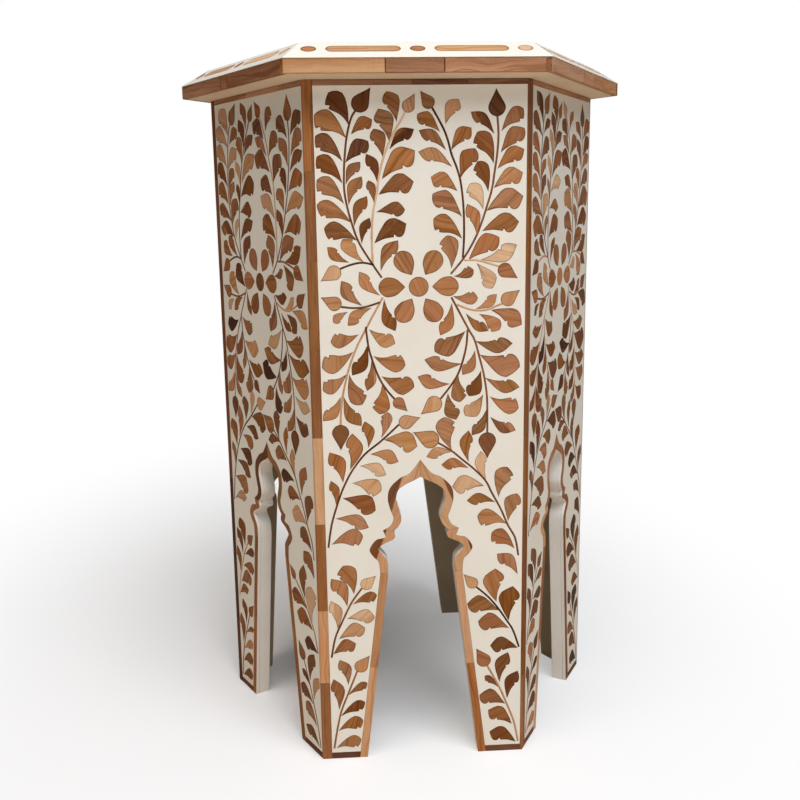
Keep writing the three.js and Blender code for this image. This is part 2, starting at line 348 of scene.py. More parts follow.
edge_paint = coated(
    "edge_paint", pale=(0.86, 0.84, 0.8), deep=(0.76, 0.73, 0.68),
    stroke_length=60, roughness=0.34, relief=0.25, gloss=0.4,
)
inside_wash = coated(
    "inside_wash", pale=(0.48, 0.405, 0.29), deep=(0.38, 0.315, 0.22),
    stroke_length=25, roughness=0.5, relief=0.4, gloss=0.15,
)


def panel_board():
    """A board with its arch and its mitred ends, from its back to its front."""
    outline = [point(0, 0)] + whole_arch(arch_edges()[0])
    outline += [point(side, 0), point(side, panel_top), point(0, panel_top)]
    rings = []
    for depth in (board_back, board_front):
        end = depth * MITRE + MITRE_GAP
        cut = [point(min(max(p.x, end), side - end), p.y) for p in outline]
        rings.append(at_height(cut, -depth))
    bm = bmesh.new()
    loft(bm, rings)[0].material_index = 1
    mesh = mesh_of(bm, edge_paint, inside_wash)
    smooth_but_creased(mesh)
    return mesh


for bay in range(len(SIDES)):
    board = put_on_panel(bay, "panel_board", panel_board(), "painted_board", "board")
    ease(board, BOARD_ARRIS)

# Teak and how it is laid
# All the inlay is small flat pieces of teak, sawn by hand from offcuts of many shades and
# glued down with their grain lying any way. Each kind of piece is made once and then laid
# at its places, stretched and toned a little differently every time.
TEAK_SHADES = [
    (0.0, (0.72, 0.49, 0.31)),
    (0.12, (0.6, 0.37, 0.205)),
    (0.26, (0.52, 0.275, 0.13)),
    (0.42, (0.405, 0.172, 0.066)),
    (0.52, (0.305, 0.119, 0.037)),
    (0.64, (0.205, 0.073, 0.018)),
    (0.8, (0.14, 0.042, 0.01)),
    (1.0, (0.05, 0.013, 0.003)),
]
# The share of the pieces that are sawn across the edge of the dark heartwood.
HEARTWOOD_CHANCE = 0.1
# How dark the rim of each piece is: a burnt edge, with painted shade laid along it.
BURNT_AND_SHADED_RIM = 0.27


def grain_group():
    """Teak, cut along the Y of its position in millimetres, in a shade from 0, pale, to 1."""
    inputs = {"Position": "Vector", "Tone": "Float", "Seed": "Float"}
    group, given = node_group("teak_grain", "ShaderNodeTree", inputs, SURFACE)
    inputs = {0: (37.3, 91.7, 13.9), "Scale": given["Seed"]}
    apart = node(group, "ShaderNodeVectorMath", inputs, operation="SCALE")[0]
    place = vector_math(group, "ADD", given["Position"], apart)
    bends = noise(group, vector_math(group, "MULTIPLY", place, (0.035, 0.025, 0.035)), 1, detail=1)
    parts = node(group, "ShaderNodeSeparateXYZ", {0: place})
    across = times_plus(group, bends, 12, parts[0])

    def streaks(sharp, long, detail, roughness=0.5):
        """Noise drawn out along the grain: how fine it is across the grain and along it."""
        x = math_node(group, "MULTIPLY", across, sharp)
        y = math_node(group, "MULTIPLY", parts[1], long)
        z = math_node(group, "MULTIPLY", parts[2], sharp)
        return noise(group, vector_of(group, x, y, z), 1, detail, roughness)

    broad = streaks(0.15, 0.012, detail=1)
    figure = streaks(0.55, 0.02, detail=2, roughness=0.6)
    fibres = streaks(2.6, 0.09, detail=3, roughness=0.7)
    lines = between(group, streaks(0.42, 0.006, detail=0), 0.62, 0.68)
    pores = between(group, streaks(4.5, 0.3, detail=1), 0.62, 0.74)

    chance = node(group, "ShaderNodeTexWhiteNoise", {"W": given["Seed"]}, noise_dimensions="1D")
    draws = node(group, "ShaderNodeSeparateColor", {0: chance["Color"]})
    edge = node(group, "ShaderNodeSeparateXYZ", {0: given["Position"]})
    edge = times_plus(group, edge[1], 0.35, edge[0])
    edge = times_plus(group, draws[0], 16, math_node(group, "SUBTRACT", edge, 13))
    heartwood = between(group, times_plus(group, bends, 8, edge), 0, 0.9)
    has_heart = math_node(group, "GREATER_THAN", chance["Value"], 1 - HEARTWOOD_CHANCE)
    heartwood = math_node(group, "MULTIPLY", heartwood, has_heart)

    tone = given["Tone"]
    for change in (broad, figure, fibres):
        tone = times_plus(group, math_node(group, "SUBTRACT", change, 0.5), 0.22, tone)
    tone = times_plus(group, lines, 0.1, tone)
    tone = times_plus(group, heartwood, 0.26, tone, clamp=True)
    ramp = group.nodes.new("ShaderNodeValToRGB")
    group.links.new(tone, ramp.inputs["Fac"])
    shades = ramp.color_ramp.elements
    while len(shades) < len(TEAK_SHADES):
        shades.new(0.5)
    for shade, (place_on_ramp, colour) in zip(shades, TEAK_SHADES):
        shade.position = place_on_ramp
        shade.color = (*colour, 1)
    tint = {
        "Hue": times_plus(group, draws[1], 0.01, 0.495),
        "Saturation": times_plus(group, draws[2], 0.14, 0.9),
        "Color": ramp.outputs["Color"],
    }
    wood = node(group, "ShaderNodeHueSaturation", tint)["Color"]
    in_pores = node(group, "ShaderNodeHueSaturation", {"Value": 0.5, "Color": wood})["Color"]
    put_out(
        group,
        Color=mixed(group, math_node(group, "MULTIPLY", pores, 0.4), wood, in_pores),
        Uneven=math_node(group, "ADD", fibres, pores),
        Height=times_plus(group, pores, -1, times_plus(group, figure, 0.3, fibres)),
    )
    return group


teak_grain = grain_group()


def teak(name, darker=0.0, roughness=0.46, gloss=0.1, faded=0.0):
    """Teak whose grain, shade, heartwood and dark rim, a burnt edge with painted shade on it, come from
    the piece's own attributes.
    """
    material = empty_material(name)
    tree = material.node_tree

    def own(attribute, output="Fac"):
        return node(tree, "ShaderNodeAttribute", attribute_name=attribute)[output]

    tone = math_node(tree, "ADD", own("tone"), darker)
    tone = times_plus(tree, between(tree, own("heart"), 0, 0.8), 0.45, tone)
    inputs = {"Position": own("grain_at", "Vector"), "Tone": tone, "Seed": own("seed")}
    grain = node(tree, "ShaderNodeGroup", inputs, node_tree=teak_grain)
    inputs = {"Saturation": 1 - faded, "Color": grain["Color"]}
    wood = node(tree, "ShaderNodeHueSaturation", inputs)["Color"]
    # The rim darkening is partly the burnt edge and partly painted shade.
    burnt_and_shaded = node(tree, "ShaderNodeHueSaturation", {"Value": BURNT_AND_SHADED_RIM, "Color": wood})["Color"]
    colour = mixed(tree, math_node(tree, "MULTIPLY", own("rim"), 0.92), wood, burnt_and_shaded)
    rough = times_plus(tree, grain["Uneven"], 0.16, roughness)
    finish(tree, colour, rough, grain["Height"], relief=0.35, gloss=gloss)
    return material


inlay_teak = teak("inlay_teak")
strip_teak = teak("strip_teak")


def drawing(*numbers):
    """An empty drawing whose points carry the grain of their piece, and numbers about it."""
    bm = bmesh.new()
    bm.verts.layers.float_vector.new("grain_at")
    for number in numbers:
        bm.verts.layers.float.new(number)
    return bm


def points_of(faces):
    return {vert for face in faces for vert in face.verts}


def mark(bm, faces, start, end, **numbers):
    """Says how a piece was sawn, with its grain from start to end, and sets its numbers."""
    along = (end - start).normalized()
    layers = bm.verts.layers
    for vert in points_of(faces):
        reach = vert.co.to_2d() - start
        grain = (reach.x * along.y - reach.y * along.x, reach.dot(along), vert.co.z)
        vert[layers.float_vector["grain_at"]] = Vector(grain)
        for number, value in numbers.items():
            vert[layers.float[number]] = value


def plate(bm, outline, back, face, arris=0.0):
    """Adds a flat piece between two heights, with an eased edge round its face."""
    rings = [at_height(outline, back), at_height(outline, face - arris)]
    if arris:
        rings.append(at_height(grown(outline, -arris), face))
    return loft(bm, rings)


def attribute(tree, name, kind):
    return node(tree, "GeometryNodeInputNamedAttribute", {"Name": name}, data_type=kind)["Attribute"]


def stored(tree, geometry, name, value, kind):
    """Geometry whose points carry a value under this name."""
    inputs = {"Geometry": geometry, "Name": name, "Value": value}
    settings = {"data_type": kind, "domain": "POINT"}
    return node(tree, "GeometryNodeStoreNamedAttribute", inputs, **settings)[0]


def made_real(tree, instances, material):
    """Ends a geometry tree: plain geometry in its material."""
    real = node(tree, "GeometryNodeRealizeInstances", {0: instances})[0]
    inputs = {"Geometry": real, "Material": material}
    put_out(tree, Geometry=node(tree, "GeometryNodeSetMaterial", inputs)[0])


def laying_tree():
    """Lays shapes at points: each has its shape's number, its turn and its stretch."""
    inputs = {
        "Geometry": "Geometry",
        "Shapes": "Collection",
        "Teak": "Material",
        "Tone Spread": "Float",
        "Seed": "Int",
    }
    tree, given = node_group("laid_pieces", "GeometryNodeTree", inputs, {"Geometry": "Geometry"})
    spread = given["Tone Spread"]
    inputs = {2: math_node(tree, "MULTIPLY", spread, -1), 3: spread, "Seed": given["Seed"]}
    drift = node(tree, "FunctionNodeRandomValue", inputs, data_type="FLOAT")[1]
    tone = math_node(tree, "ADD", attribute(tree, "tone", "FLOAT"), drift)
    turn = vector_of(tree, 0, 0, attribute(tree, "turn", "FLOAT"))
    inputs = {"Collection": given["Shapes"], "Separate Children": True, "Reset Children": True}
    shapes = node(tree, "GeometryNodeCollectionInfo", inputs)[0]
    inputs = {
        "Points": stored(tree, given["Geometry"], "tone", tone, "FLOAT"),
        "Instance": shapes,
        "Pick Instance": True,
        "Instance Index": attribute(tree, "shape", "INT"),
        "Rotation": node(tree, "FunctionNodeEulerToRotation", {0: turn})[0],
        "Scale": attribute(tree, "stretch", "FLOAT_VECTOR"),
    }
    made_real(tree, node(tree, "GeometryNodeInstanceOnPoints", inputs)[0], given["Teak"])
    return tree


laid_pieces = laying_tree()


def shape_box(name, drawings):
    """Keeps the shapes that pieces are sawn to, in the order of their numbers."""
    box = bpy.data.collections.new(name)
    for number, bm in enumerate(drawings):
        box.objects.link(bpy.data.objects.new(f"{name}_{number:02d}", mesh_of(bm)))
    return box


def grown_by_tree(tree, mesh, values):
    """Runs a geometry tree on a mesh and gives the finished mesh."""
    source = bpy.data.objects.new("source", mesh)
    bpy.context.scene.collection.objects.link(source)
    modifier = source.modifiers.new("tree", "NODES")
    modifier.node_group = tree
    for item in tree.interface.items_tree:
        if item.in_out == "INPUT" and item.name in values:
            modifier[item.identifier] = values[item.name]
    graph = bpy.context.evaluated_depsgraph_get()
    made = bpy.data.meshes.new_from_object(
        source.evaluated_get(graph), preserve_all_data_layers=True, depsgraph=graph
    )
    source.modifiers.clear()
    bpy.data.objects.remove(source)
    return made


def laid(box, places, material, seed, tone_spread=0.03):
    """Lays shapes at places, each (x, y, height, turn, stretch, shape, tone), into one mesh."""
    points = bpy.data.meshes.new("places")
    points.from_pydata([place[:3] for place in places], [], [])
    layers = {
        "turn": ("FLOAT", "value", [place[3] for place in places]),
        "stretch": ("FLOAT_VECTOR", "vector", [x for place in places for x in place[4]]),
        "shape": ("INT", "value", [place[5] for place in places]),
        "tone": ("FLOAT", "value", [place[6] for place in places]),
        "seed": ("FLOAT", "value", [seed + 0.37 * i for i in range(len(places))]),
    }
    for name, (kind, key, values) in layers.items():
        points.attributes.new(name, kind, "POINT").data.foreach_set(key, values)
    values = {"Shapes": box, "Teak": material, "Tone Spread": tone_spread, "Seed": seed}
    return grown_by_tree(laid_pieces, points, values)


# Rosettes
# In the middle of each face is a flower of seven flat teak pieces: a round disc and six
# petals round it, sawn by hand and let into the resin, flush with its face.
INLAY_DEPTH = 1.5
INLAY_PROUD = 0.06
INLAY_GLUE = 0.07
# How far the rim of a piece lies below the middle of its face, as a share of its depth.
DOME_DROP = 0.04
RIM_WIDTH = 1.0
DISC_TURN = 0.3
ROSETTE_DISC_RADIUS = 8.1
PETAL_START = 11.3
PETAL_LENGTH = 21.5
PETAL_WIDTH = 16
PETAL_COUNT = 6
# Half of a petal from its point outwards: shares of its length and of its width.
PETAL_HALF = [(0, 0.02), (0.1, 0.15), (0.3, 0.385), (0.52, 0.49), (0.74, 0.485), (0.92, 0.3), (1, 0.08)]
ROSETTE_TONES = [0.4, 0.44, 0.4, 0.42, 0.46, 0.4, 0.42]
rosette_low, rosette_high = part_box("rosette_front")
rosette_centre = point(side / 2, (rosette_low.z + rosette_high.z) / 2 / MM)


def inlay_shape(outline, unit=1.0, grain=(0, 1), rim_width=RIM_WIDTH):
    """A flat piece one unit deep, whose face is a little domed, and dark round its rim, where the saw
    went and where painted shade lies.
    """
    bm = drawing("rim")
    inner = grown(outline, -rim_width / unit)
    faces = loft(bm, [at_height(outline, -1), at_height(outline, -DOME_DROP), at_height(inner, 0)])
    mark(bm, faces, point(0, 0), point(*grain))
    layers = bm.verts.layers
    for vert in bm.verts:
        vert[layers.float["rim"]] = 1 if vert.co.z < 0 else 0
        vert[layers.float_vector["grain_at"]] *= unit
    return bm


def circle(radius, steps):
    turns = [math.tau * step / steps for step in range(steps)]
    return [point(math.cos(turn) * radius, math.sin(turn) * radius) for turn in turns]


def mirrored(outline):
    return [point(p.x, -p.y) for p in reversed(outline)]


def petal_outline():
    half = [point(PETAL_START + along * PETAL_LENGTH, -out * PETAL_WIDTH) for along, out in PETAL_HALF]
    half = smooth(half, steps=3)
    return half + mirrored(half)


petal = petal_outline()
disc = circle(ROSETTE_DISC_RADIUS, steps=32)
rosette_shapes = shape_box("rosette_shapes", [inlay_shape(disc), inlay_shape(petal, grain=(1, 0))])


def turned(outline, centre, turn, stretch=(1, 1)):
    """An outline at its place, stretched and then turned."""
    across = point(math.cos(turn), math.sin(turn))
    return [
        point(
            centre[0] + p.x * stretch[0] * across.x - p.y * stretch[1] * across.y,
            centre[1] + p.x * stretch[0] * across.y + p.y * stretch[1] * across.x,
        )
        for p in outline
    ]


def rosette(centre, scale, tones):
    """The places of a rosette's pieces, and their outlines."""
    stretch = (scale, scale, INLAY_DEPTH)
    places = []
    outlines = []
    for i, tone in enumerate(tones):
        turn = math.tau * (i - 1) / PETAL_COUNT if i > 0 else DISC_TURN
        places.append((*centre, INLAY_PROUD, turn, stretch, min(i, 1), tone))
        outlines.append(turned(petal if i > 0 else disc, centre, turn, stretch))
    return places, outlines


# Vines
# Sprays of thin stems with a bud at the tip and curved leaves on both sides, about 170
# pieces of teak on each face. The same drawing is sawn for every face, but no two faces
# come out quite alike. A leaf is a comma with a small nick under its head.
LEAF_RUNS = [
    [
        [(0, 0), (0.26, 0.12), (0.58, 0.27), (0.84, 0.365), (1.03, 0.378), (1.16, 0.345)],
        [(1.16, 0.345), (1.3, 0.17), (1.39, 0), (1.44, -0.13)],
        [(1.44, -0.13), (1.33, -0.285), (1.17, -0.39), (1.01, -0.415), (0.89, -0.36)],
        [(0.89, -0.36), (0.835, -0.215)],
        [(0.835, -0.215), (0.755, -0.275)],
        [(0.755, -0.275), (0.55, -0.165), (0.32, -0.07), (0.15, -0.025), (0, 0)],
    ],
    [
        [(0, 0), (0.28, 0.13), (0.51, 0.235), (0.71, 0.305), (0.9, 0.34), (1.07, 0.305)],
        [(1.07, 0.305), (1.22, 0.2), (1.37, 0.02), (1.49, -0.14)],
        [(1.49, -0.14), (1.36, -0.215), (1.19, -0.285), (1.03, -0.305), (0.91, -0.275)],
        [(0.91, -0.275), (0.85, -0.13)],
        [(0.85, -0.13), (0.765, -0.175)],
        [(0.765, -0.175), (0.62, -0.1), (0.42, -0.04), (0.2, -0.015), (0, 0)],
    ],
    [
        [(0, 0), (0.38, 0.19), (0.65, 0.3), (0.95, 0.375), (1.17, 0.37)],
        [(1.17, 0.37), (1.32, 0.26), (1.42, 0.08), (1.445, -0.08)],
        [(1.445, -0.08), (1.34, -0.22), (1.23, -0.33), (1.11, -0.41)],
        [(1.11, -0.41), (1.0, -0.265)],
        [(1.0, -0.265), (0.92, -0.36)],
        [(0.92, -0.36), (0.77, -0.27), (0.565, -0.125), (0.31, -0.035), (0, 0)],
    ],
    [
        [(0, 0), (0.33, 0.18), (0.66, 0.317), (0.89, 0.39), (1.09, 0.37), (1.25, 0.27)],
        [(1.25, 0.27), (1.375, 0.06), (1.47, -0.15)],
        [(1.47, -0.15), (1.28, -0.32), (1.11, -0.42), (0.96, -0.41), (0.87, -0.325)],
        [(0.87, -0.325), (0.84, -0.185)],
        [(0.84, -0.185), (0.755, -0.265)],
        [(0.755, -0.265), (0.61, -0.185), (0.41, -0.09), (0.2, -0.04), (0, 0)],
    ],
]
# Which way the grain runs in each leaf, first as drawn and then mirrored.
LEAF_GRAINS = [(1, 0.5), (1, -0.35), (0.7, 1), (1, 0.15), (1, 0.9), (1, -0.6), (1, 0.35), (0.5, 1)]
BUD_HALF = [(0, 0.04), (0.06, 0.19), (0.2, 0.3), (0.38, 0.32), (0.62, 0.2), (0.84, 0.075), (1, 0)]
LEAF_UNIT = 22
BUD_UNIT = 20
STEM_WIDTH = 1.62
LEAF_NECK = 0.5
PIECE_GAP = 0.2

# The drawing of one face, in millimetres from the left corner of the panel and from the
# floor. A stem has its shade and its points, a bud its tip and shade, and a leaf the
# middle of its head, its base and its shade.
SPRAYS = [
    {
        "stem": (0.74, (60, 430), (50, 445), (41.7, 459), (36.7, 473), (33, 487), (31, 500), (31, 513),
                 (32, 527), (34, 542), (37.5, 555), (41, 561)),
        "bud": (53.7, 580, 0.8),
        "leaves": [
            (26, 568, 36, 550, 0.82), (16.7, 554, 34, 540, 0.5), (15, 538, 30.5, 522, 0.48),
            (15, 522, 30, 505, 0.6), (16, 504, 31, 489, 0.52), (16, 486, 37, 474, 0.24),
            (22.5, 468, 41, 460, 0.6), (48, 552, 37, 543, 0.55), (44, 534, 32, 521, 0.78),
            (39, 517, 32, 504, 0.56), (40, 504, 34, 488, 0.5), (44, 488, 38, 471, 0.58),
            (47.5, 472, 44, 457, 0.78),
        ],
    },
    {
        "stem": (0.02, (53, 440), (52.5, 452), (52.5, 467), (54, 483), (57, 497), (59, 510),
                 (62, 522), (66, 533),
                 (72, 545), (77, 553), (81, 560)),
        "bud": (88.7, 574, 0.24),
        "leaves": [
            (70, 569, 74, 552, 0.54), (64, 555, 68, 537, 0.5), (59, 541, 62.5, 525, 0.56),
            (53, 522.5, 58, 505, 0.76), (52, 506, 55, 489, 0.6), (80, 543, 67.5, 531, 0.7),
            (78, 525, 61, 508, 0.44), (77, 505, 58, 496, 0.6), (72.5, 485, 56, 482.5, 0.6),
            (71, 470, 54, 457.5, 0.58), (67.5, 453, 59, 435, 0.52),
        ],
    },
    {
        "stem": (0.88, (127, 445), (128, 460), (128, 477), (127, 493), (125, 507), (122, 517), (118, 527),
                 (115, 538), (111, 548), (102.5, 563)),
        "bud": (93, 576, 0.52),
        "leaves": [
            (97, 555, 109, 544, 0.52), (100, 542, 114, 530, 0.62), (101, 527, 119, 517, 0.36),
            (109, 507.5, 123, 498, 0.4), (111, 492, 127, 477.5, 0.48), (111, 472.5, 127, 460, 0.48),
            (116, 455, 117.5, 436, 0.46), (119, 564, 113, 550, 0.3), (127.5, 543, 117.5, 530, 0.48),
            (132, 525, 125, 508, 0.52),
        ],
    },
    {
        "stem": (0.66, (117, 432), (128, 445), (137, 460), (142.5, 473), (147.5, 488), (151, 500),
                 (153, 513), (155, 527), (156, 542), (155, 556)),
        "bud": (154, 577.5, 0.82),
        "leaves": [
            (141, 555, 153, 542, 0.58), (144, 537, 152.5, 519, 0.6), (142.5, 515, 148, 497, 0.62),
            (137, 498, 144, 483, 0.08), (135, 480, 139, 462, 0.42), (170, 557, 158, 544, 0.55),
            (170, 542, 157.5, 527.5, 0.48), (169, 527, 155, 515, 0.5), (167.5, 510, 152, 500, 0.12),
            (166, 492, 146, 482, 0.42), (163, 473, 142.5, 466, 0.52), (148, 457, 131, 442.5, 0.47),
        ],
    },
    {
        "stem": (0.8, (52, 441), (44, 442.5), (35, 441), (26, 437.8)),
        "bud": (9.7, 428, 0.12),
        "leaves": [(21, 450, 34, 442.5, 0.5), (32, 457, 46, 442.5, 0.3), (46, 427.5, 59, 415, 0.34)],
    },
    {
        "stem": (0.8, (58, 410), (46, 406.5), (36, 405.8), (26, 407)),
        "bud": (8.7, 415, 0.36),
        "leaves": [(31, 420, 44, 407, 0.46), (22.5, 397.5, 32, 403, 0.36), (37, 397.5, 52, 406, 0.36)],
    },
    {
        "stem": (0.08, (128, 443), (138, 443), (148, 440.5), (157, 437.5)),
        "bud": (173, 427.5, 0.44),
        "leaves": [(162.5, 449, 141, 443, 0.04), (131, 433, 119, 430, 0.5), (149, 427, 138, 441, 0.14)],
    },
    {
        "stem": (0.08, (122, 407), (134, 402.5), (146, 402), (160, 407)),
        "bud": (175, 418, 0.3),
        "leaves": [
            (133, 412, 118, 414, 0.2), (151, 410, 137, 402.5, 0.34), (169, 395, 150, 402, 0.42),
            (153, 390, 140, 399, 0.36),
        ],
    },
    {
        "stem": (0.02, (60.5, 414), (47, 390), (38, 373), (31, 355), (26, 335), (24, 322), (23, 308)),
        "bud": (22.8, 286, 0.7),
        "leaves": [
            (66, 394, 61.5, 413, 0.6), (24.2, 379.2, 40.8, 384.2, 0.45), (17.5, 360, 35.8, 370, 0.42),
            (15.8, 341, 29.7, 351.3, 0.45), (15, 317.5, 24.2, 332.5, 0.14),
            (37.5, 332.5, 31.3, 351.3, 0.46),
            (34.2, 314.2, 26, 332.5, 0.52),
        ],
    },
    {
        "stem": (0.82, (46, 390), (48, 373), (51, 362), (56, 348), (62, 337.5), (69, 329)),
        "bud": (80, 318, 0.44),
        "leaves": [
            (62.5, 378.3, 48.3, 388.3, 0.34), (70, 359.2, 51.3, 365.8, 0.43),
            (76.7, 340, 58, 348.7, 0.46),
            (40, 357.5, 47.5, 375.8, 0.76), (48.7, 342.5, 50.3, 362.5, 0.32),
            (58, 324.2, 58.7, 342.5, 0.46),
        ],
    },
    {
        "stem": (0.56, (117.5, 413), (132, 386), (137, 377), (141, 363), (145, 347), (147.5, 330),
                 (148, 313), (148, 298)),
        "bud": (148, 275, 0.7),
        "leaves": [
            (113, 390, 118, 409, 0.42), (143, 387, 129, 400, 0.55), (158.3, 372.5, 137, 376.3, 0.56),
            (164.2, 355, 140.8, 365, 0.42), (165, 337.5, 145.3, 345.3, 0.45),
            (166.7, 320.8, 149.5, 329.2, 0.37),
            (164.2, 301.7, 150, 311.7, 0.42), (131.7, 354.2, 137.5, 369.2, 0.45),
            (136.7, 335.8, 142.5, 351.7, 0.7),
            (135, 317.5, 144.7, 331.3, 0.26), (140, 301.7, 147.2, 318, 0.55),
        ],
    },
    {
        "stem": (0.74, (131, 386), (130, 373), (127, 360), (122.5, 348), (116, 338), (108, 328)),
        "bud": (91, 315, 0.2),
        "leaves": [
            (112.5, 371.7, 129.7, 385.3, 0.5), (105, 358.3, 127, 357.5, 0.42),
            (97.5, 343.3, 116.7, 340.5, 0.4),
            (123.3, 332.5, 123, 350, 0.5), (117.5, 316.7, 114.2, 333, 0.3),
        ],
    },
    {
        "stem": (0.8, (9.7, 200), (13, 220), (18, 237), (24, 253), (32, 268), (43, 282), (57, 293),
                 (72.5, 307)),
        "bud": (91, 312.5, 0.26),
        "leaves": [
            (62.8, 314.1, 57, 295, 0.42), (46, 302.9, 46, 287, 0.54), (34.2, 290.3, 30, 268, 0.42),
            (18.7, 276.1, 24, 257, 0.44), (15.9, 254, 17.5, 237, 0.55), (79.1, 291.9, 59, 294, 0.32),
            (64, 278.8, 47, 282, 0.36), (53.9, 267.8, 38, 272, 0.1), (49, 252.8, 31, 257, 0.2),
            (43.2, 237.6, 22.5, 244, 0.6), (36.1, 221.8, 16, 226, 0.43), (31.1, 208.3, 12, 202.5, 0.42),
        ],
    },
    {
        "stem": (0.74, (176, 187), (173, 203), (166.5, 215), (160, 230), (152, 245), (147, 255),
                 (138, 265),
                 (127.5, 274), (117, 283), (106, 290)),
        "bud": (84, 300, 0.3),
        "leaves": [
            (112.2, 303.1, 117.5, 283, 0.4), (129.9, 293.2, 132, 272, 0.45),
            (142.2, 274.1, 147.5, 255, 0.1),
            (162.2, 259.1, 158, 240, 0.45), (170.2, 236, 166.5, 218, 0.22), (102, 280.9, 120, 282, 0.33),
            (116.6, 271.2, 132.5, 267, 0.45), (126.9, 253.1, 146, 251, 0.14),
            (139, 239.2, 156, 236, 0.52),
            (148, 222.4, 166, 216, 0.43), (159.2, 204.7, 173, 193, 0.45), (164.9, 183.8, 176, 169, 0.45),
        ],
    },
    {
        "stem": (0.5, (9.7, 98), (13.6, 117), (20.7, 133), (28.6, 149), (38, 162)),
        "bud": (50.7, 173, 0.1),
        "leaves": [
            (25.7, 175.1, 31, 156, 0.46), (17.6, 164.1, 25, 145, 0.43), (13.9, 144.1, 16, 124, 0.06),
            (47, 154.4, 29, 147, 0.58), (42, 136.1, 23.5, 134, 0.14), (31.9, 123.5, 16, 115, 0.04),
            (24.2, 109, 11, 101, 0.57),
        ],
    },
    {
        "stem": (0.55, (9.7, 10), (13, 28.6), (17, 46), (24, 64), (32, 84)),
        "bud": (43.6, 98.6, 0.28),
        "leaves": [
            (20.8, 88, 24, 71, 0.5), (13.9, 70.3, 15, 47, 0.52), (38.9, 71.6, 23, 61, 0.58),
            (35.1, 52.7, 16, 41, 0.52),
            (29.5, 34.4, 13.6, 27, 0.52), (28, 16.4, 11, 10, 0.48),
        ],
    },
    {
        "stem": (0.95, (177.5, 101), (172, 117), (166, 127), (158, 139), (149, 150), (139, 159)),
        "bud": (127, 172, 0.24),
        "leaves": [
            (153.8, 165.2, 157, 144, 0.44), (168, 148.3, 168, 126, 0.62), (139.9, 143.4, 160, 136, 0.53),
            (149.9, 126.4, 169, 119, 0.48), (160, 104.2, 177, 100, 0.74),
        ],
    },
    {
        "stem": (0.3, (177.5, 9), (173.5, 28.6), (167, 46), (160, 63), (149, 84)),
        "bud": (139, 101, 0.52),
        "leaves": [
            (163.2, 87.1, 160, 67, 0.68), (171.8, 69.7, 167, 51, 0.8), (147.9, 73.7, 160, 62, 0.7),
            (150.1, 54.5, 166, 46, 0.6), (158.2, 37.7, 172, 26, 0.56), (160.1, 17.5, 176, 8, 0.72),
        ],
    },
]
VINE_SEED = 100
# The leaves round the arch are broader, and so are those of the other faces.
BROAD_BELOW = 310
BROAD_LEAF = 1.08
LONG_LEAF = 1.04
# How much darker the leaves of a face are, at its foot and at its top.
FACE_DARKER = {"front_right": (0.26, -0.05), "front_left": (0.05, 0)}
# How the offcuts come: each row is a kind, and has the chance that a draw falls in this row
# or an earlier one, then the kind's palest and darkest tone.
OFFCUTS = [(0.14, 0.14, 0.34), (0.4, 0.62, 0.74), (1, 0.46, 0.6)]
STEM_TONES = (0.3, 0.6, 0.7, 0.75, 0.8)
# The drawing's outer edges, and how far the other faces drift from it: two waves each way,
# with their lengths and the share of the shorter one.
DRAWING_LEFT = 7.7
DRAWING_RIGHT = 179.3
FACE_DRIFT = 0.8
WAVES_ACROSS = (41, 17, 0.6)
WAVES_UP = (23, 11, 0.5)
# How far a leaf's head may wander, how much leaves differ in width, and in height by a hair.
LOOSE_HEAD = 0.6
LEAF_WIDTHS = (0.94, 1.08)
PROUD_DRIFT = 0.02
# A piece that doesn't fit is sawn a little shorter and narrower, so many times. The last
# number is the share of its length, from its base, that may touch a stem.
FIT_TRIES = 16
SHORTER = 0.98
NARROWER = 0.972
BARE_SHARE = 0.45

# The resin reaches to this gap from the strips. In the CAD it stays farther away from them.
FIELD_GAP = 0.08
low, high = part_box("resin_skin_front")
spread = (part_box("top_trim_front")[0].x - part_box("corner_strip_front")[1].x) / MM - FIELD_GAP
field_left = low.x / MM + side / 2 - spread
field_right = high.x / MM + side / 2 + spread
field_foot = low.z / MM - spread
field_top = high.z / MM + spread
resin_back = high.y / MM + apothem


def field_outline(growth):
    """The outline of a panel's resin, between the strips and over the arch."""
    half = arch_edges(growth)[1]
    foot = half[0].lerp(half[1], field_foot / half[1].y)
    outline = [point(field_left, field_foot)] + whole_arch([foot] + half[1:])
    ends = [point(field_right, field_foot), point(field_right, field_top), point(field_left, field_top)]
    return outline + ends


def leaf_outline(runs):
    line = [point(*runs[0][0])]
    for run in runs:
        line += smooth([point(*corner) for corner in run], 2 if len(run) > 2 else 1)[1:]
    return list(reversed(line[:-1]))


def bud_outline():
    half = smooth([point(along, -out) for along, out in BUD_HALF], 2)
    return half + mirrored(half[:-1])


leaves = [leaf_outline(runs) for runs in LEAF_RUNS]
leaves += [mirrored(leaf) for leaf in leaves]
vine_outlines = leaves + [bud_outline()]
BUD_SHAPE = len(leaves)
vine_shapes = shape_box(
    "vine_shapes",
    [inlay_shape(leaf, LEAF_UNIT, grain) for leaf, grain in zip(leaves, LEAF_GRAINS)]
    + [inlay_shape(vine_outlines[BUD_SHAPE], BUD_UNIT, (1, 0.8))],
)


def reach_of(outline):
    """The box round an outline: left, bottom, right and top."""
    across = [p.x for p in outline]
    up = [p.y for p in outline]
    return min(across), min(up), max(across), max(up)


def apart(box, other):
    return box[2] < other[0] or other[2] < box[0] or box[3] < other[1] or other[3] < box[1]


def inside(p, outline):
    """Whether a point lies in an outline."""
    crossings = 0
    for i, end in enumerate(outline):
        start = outline[i - 1]
        if (start.y > p.y) != (end.y > p.y):
            if p.x < start.x + (end.x - start.x) * (p.y - start.y) / (end.y - start.y):
                crossings += 1
    return crossings % 2 == 1


def ribbon(path, width):
    """The outline of a thin strip along a path."""
    right, left = [], []
    for i, p in enumerate(path):
        way = (path[min(i + 1, len(path) - 1)] - path[max(i - 1, 0)]).normalized()
        right.append(p + point(way.y, -way.x) * width / 2)
        left.append(p - point(way.y, -way.x) * width / 2)
    return right + left[::-1]


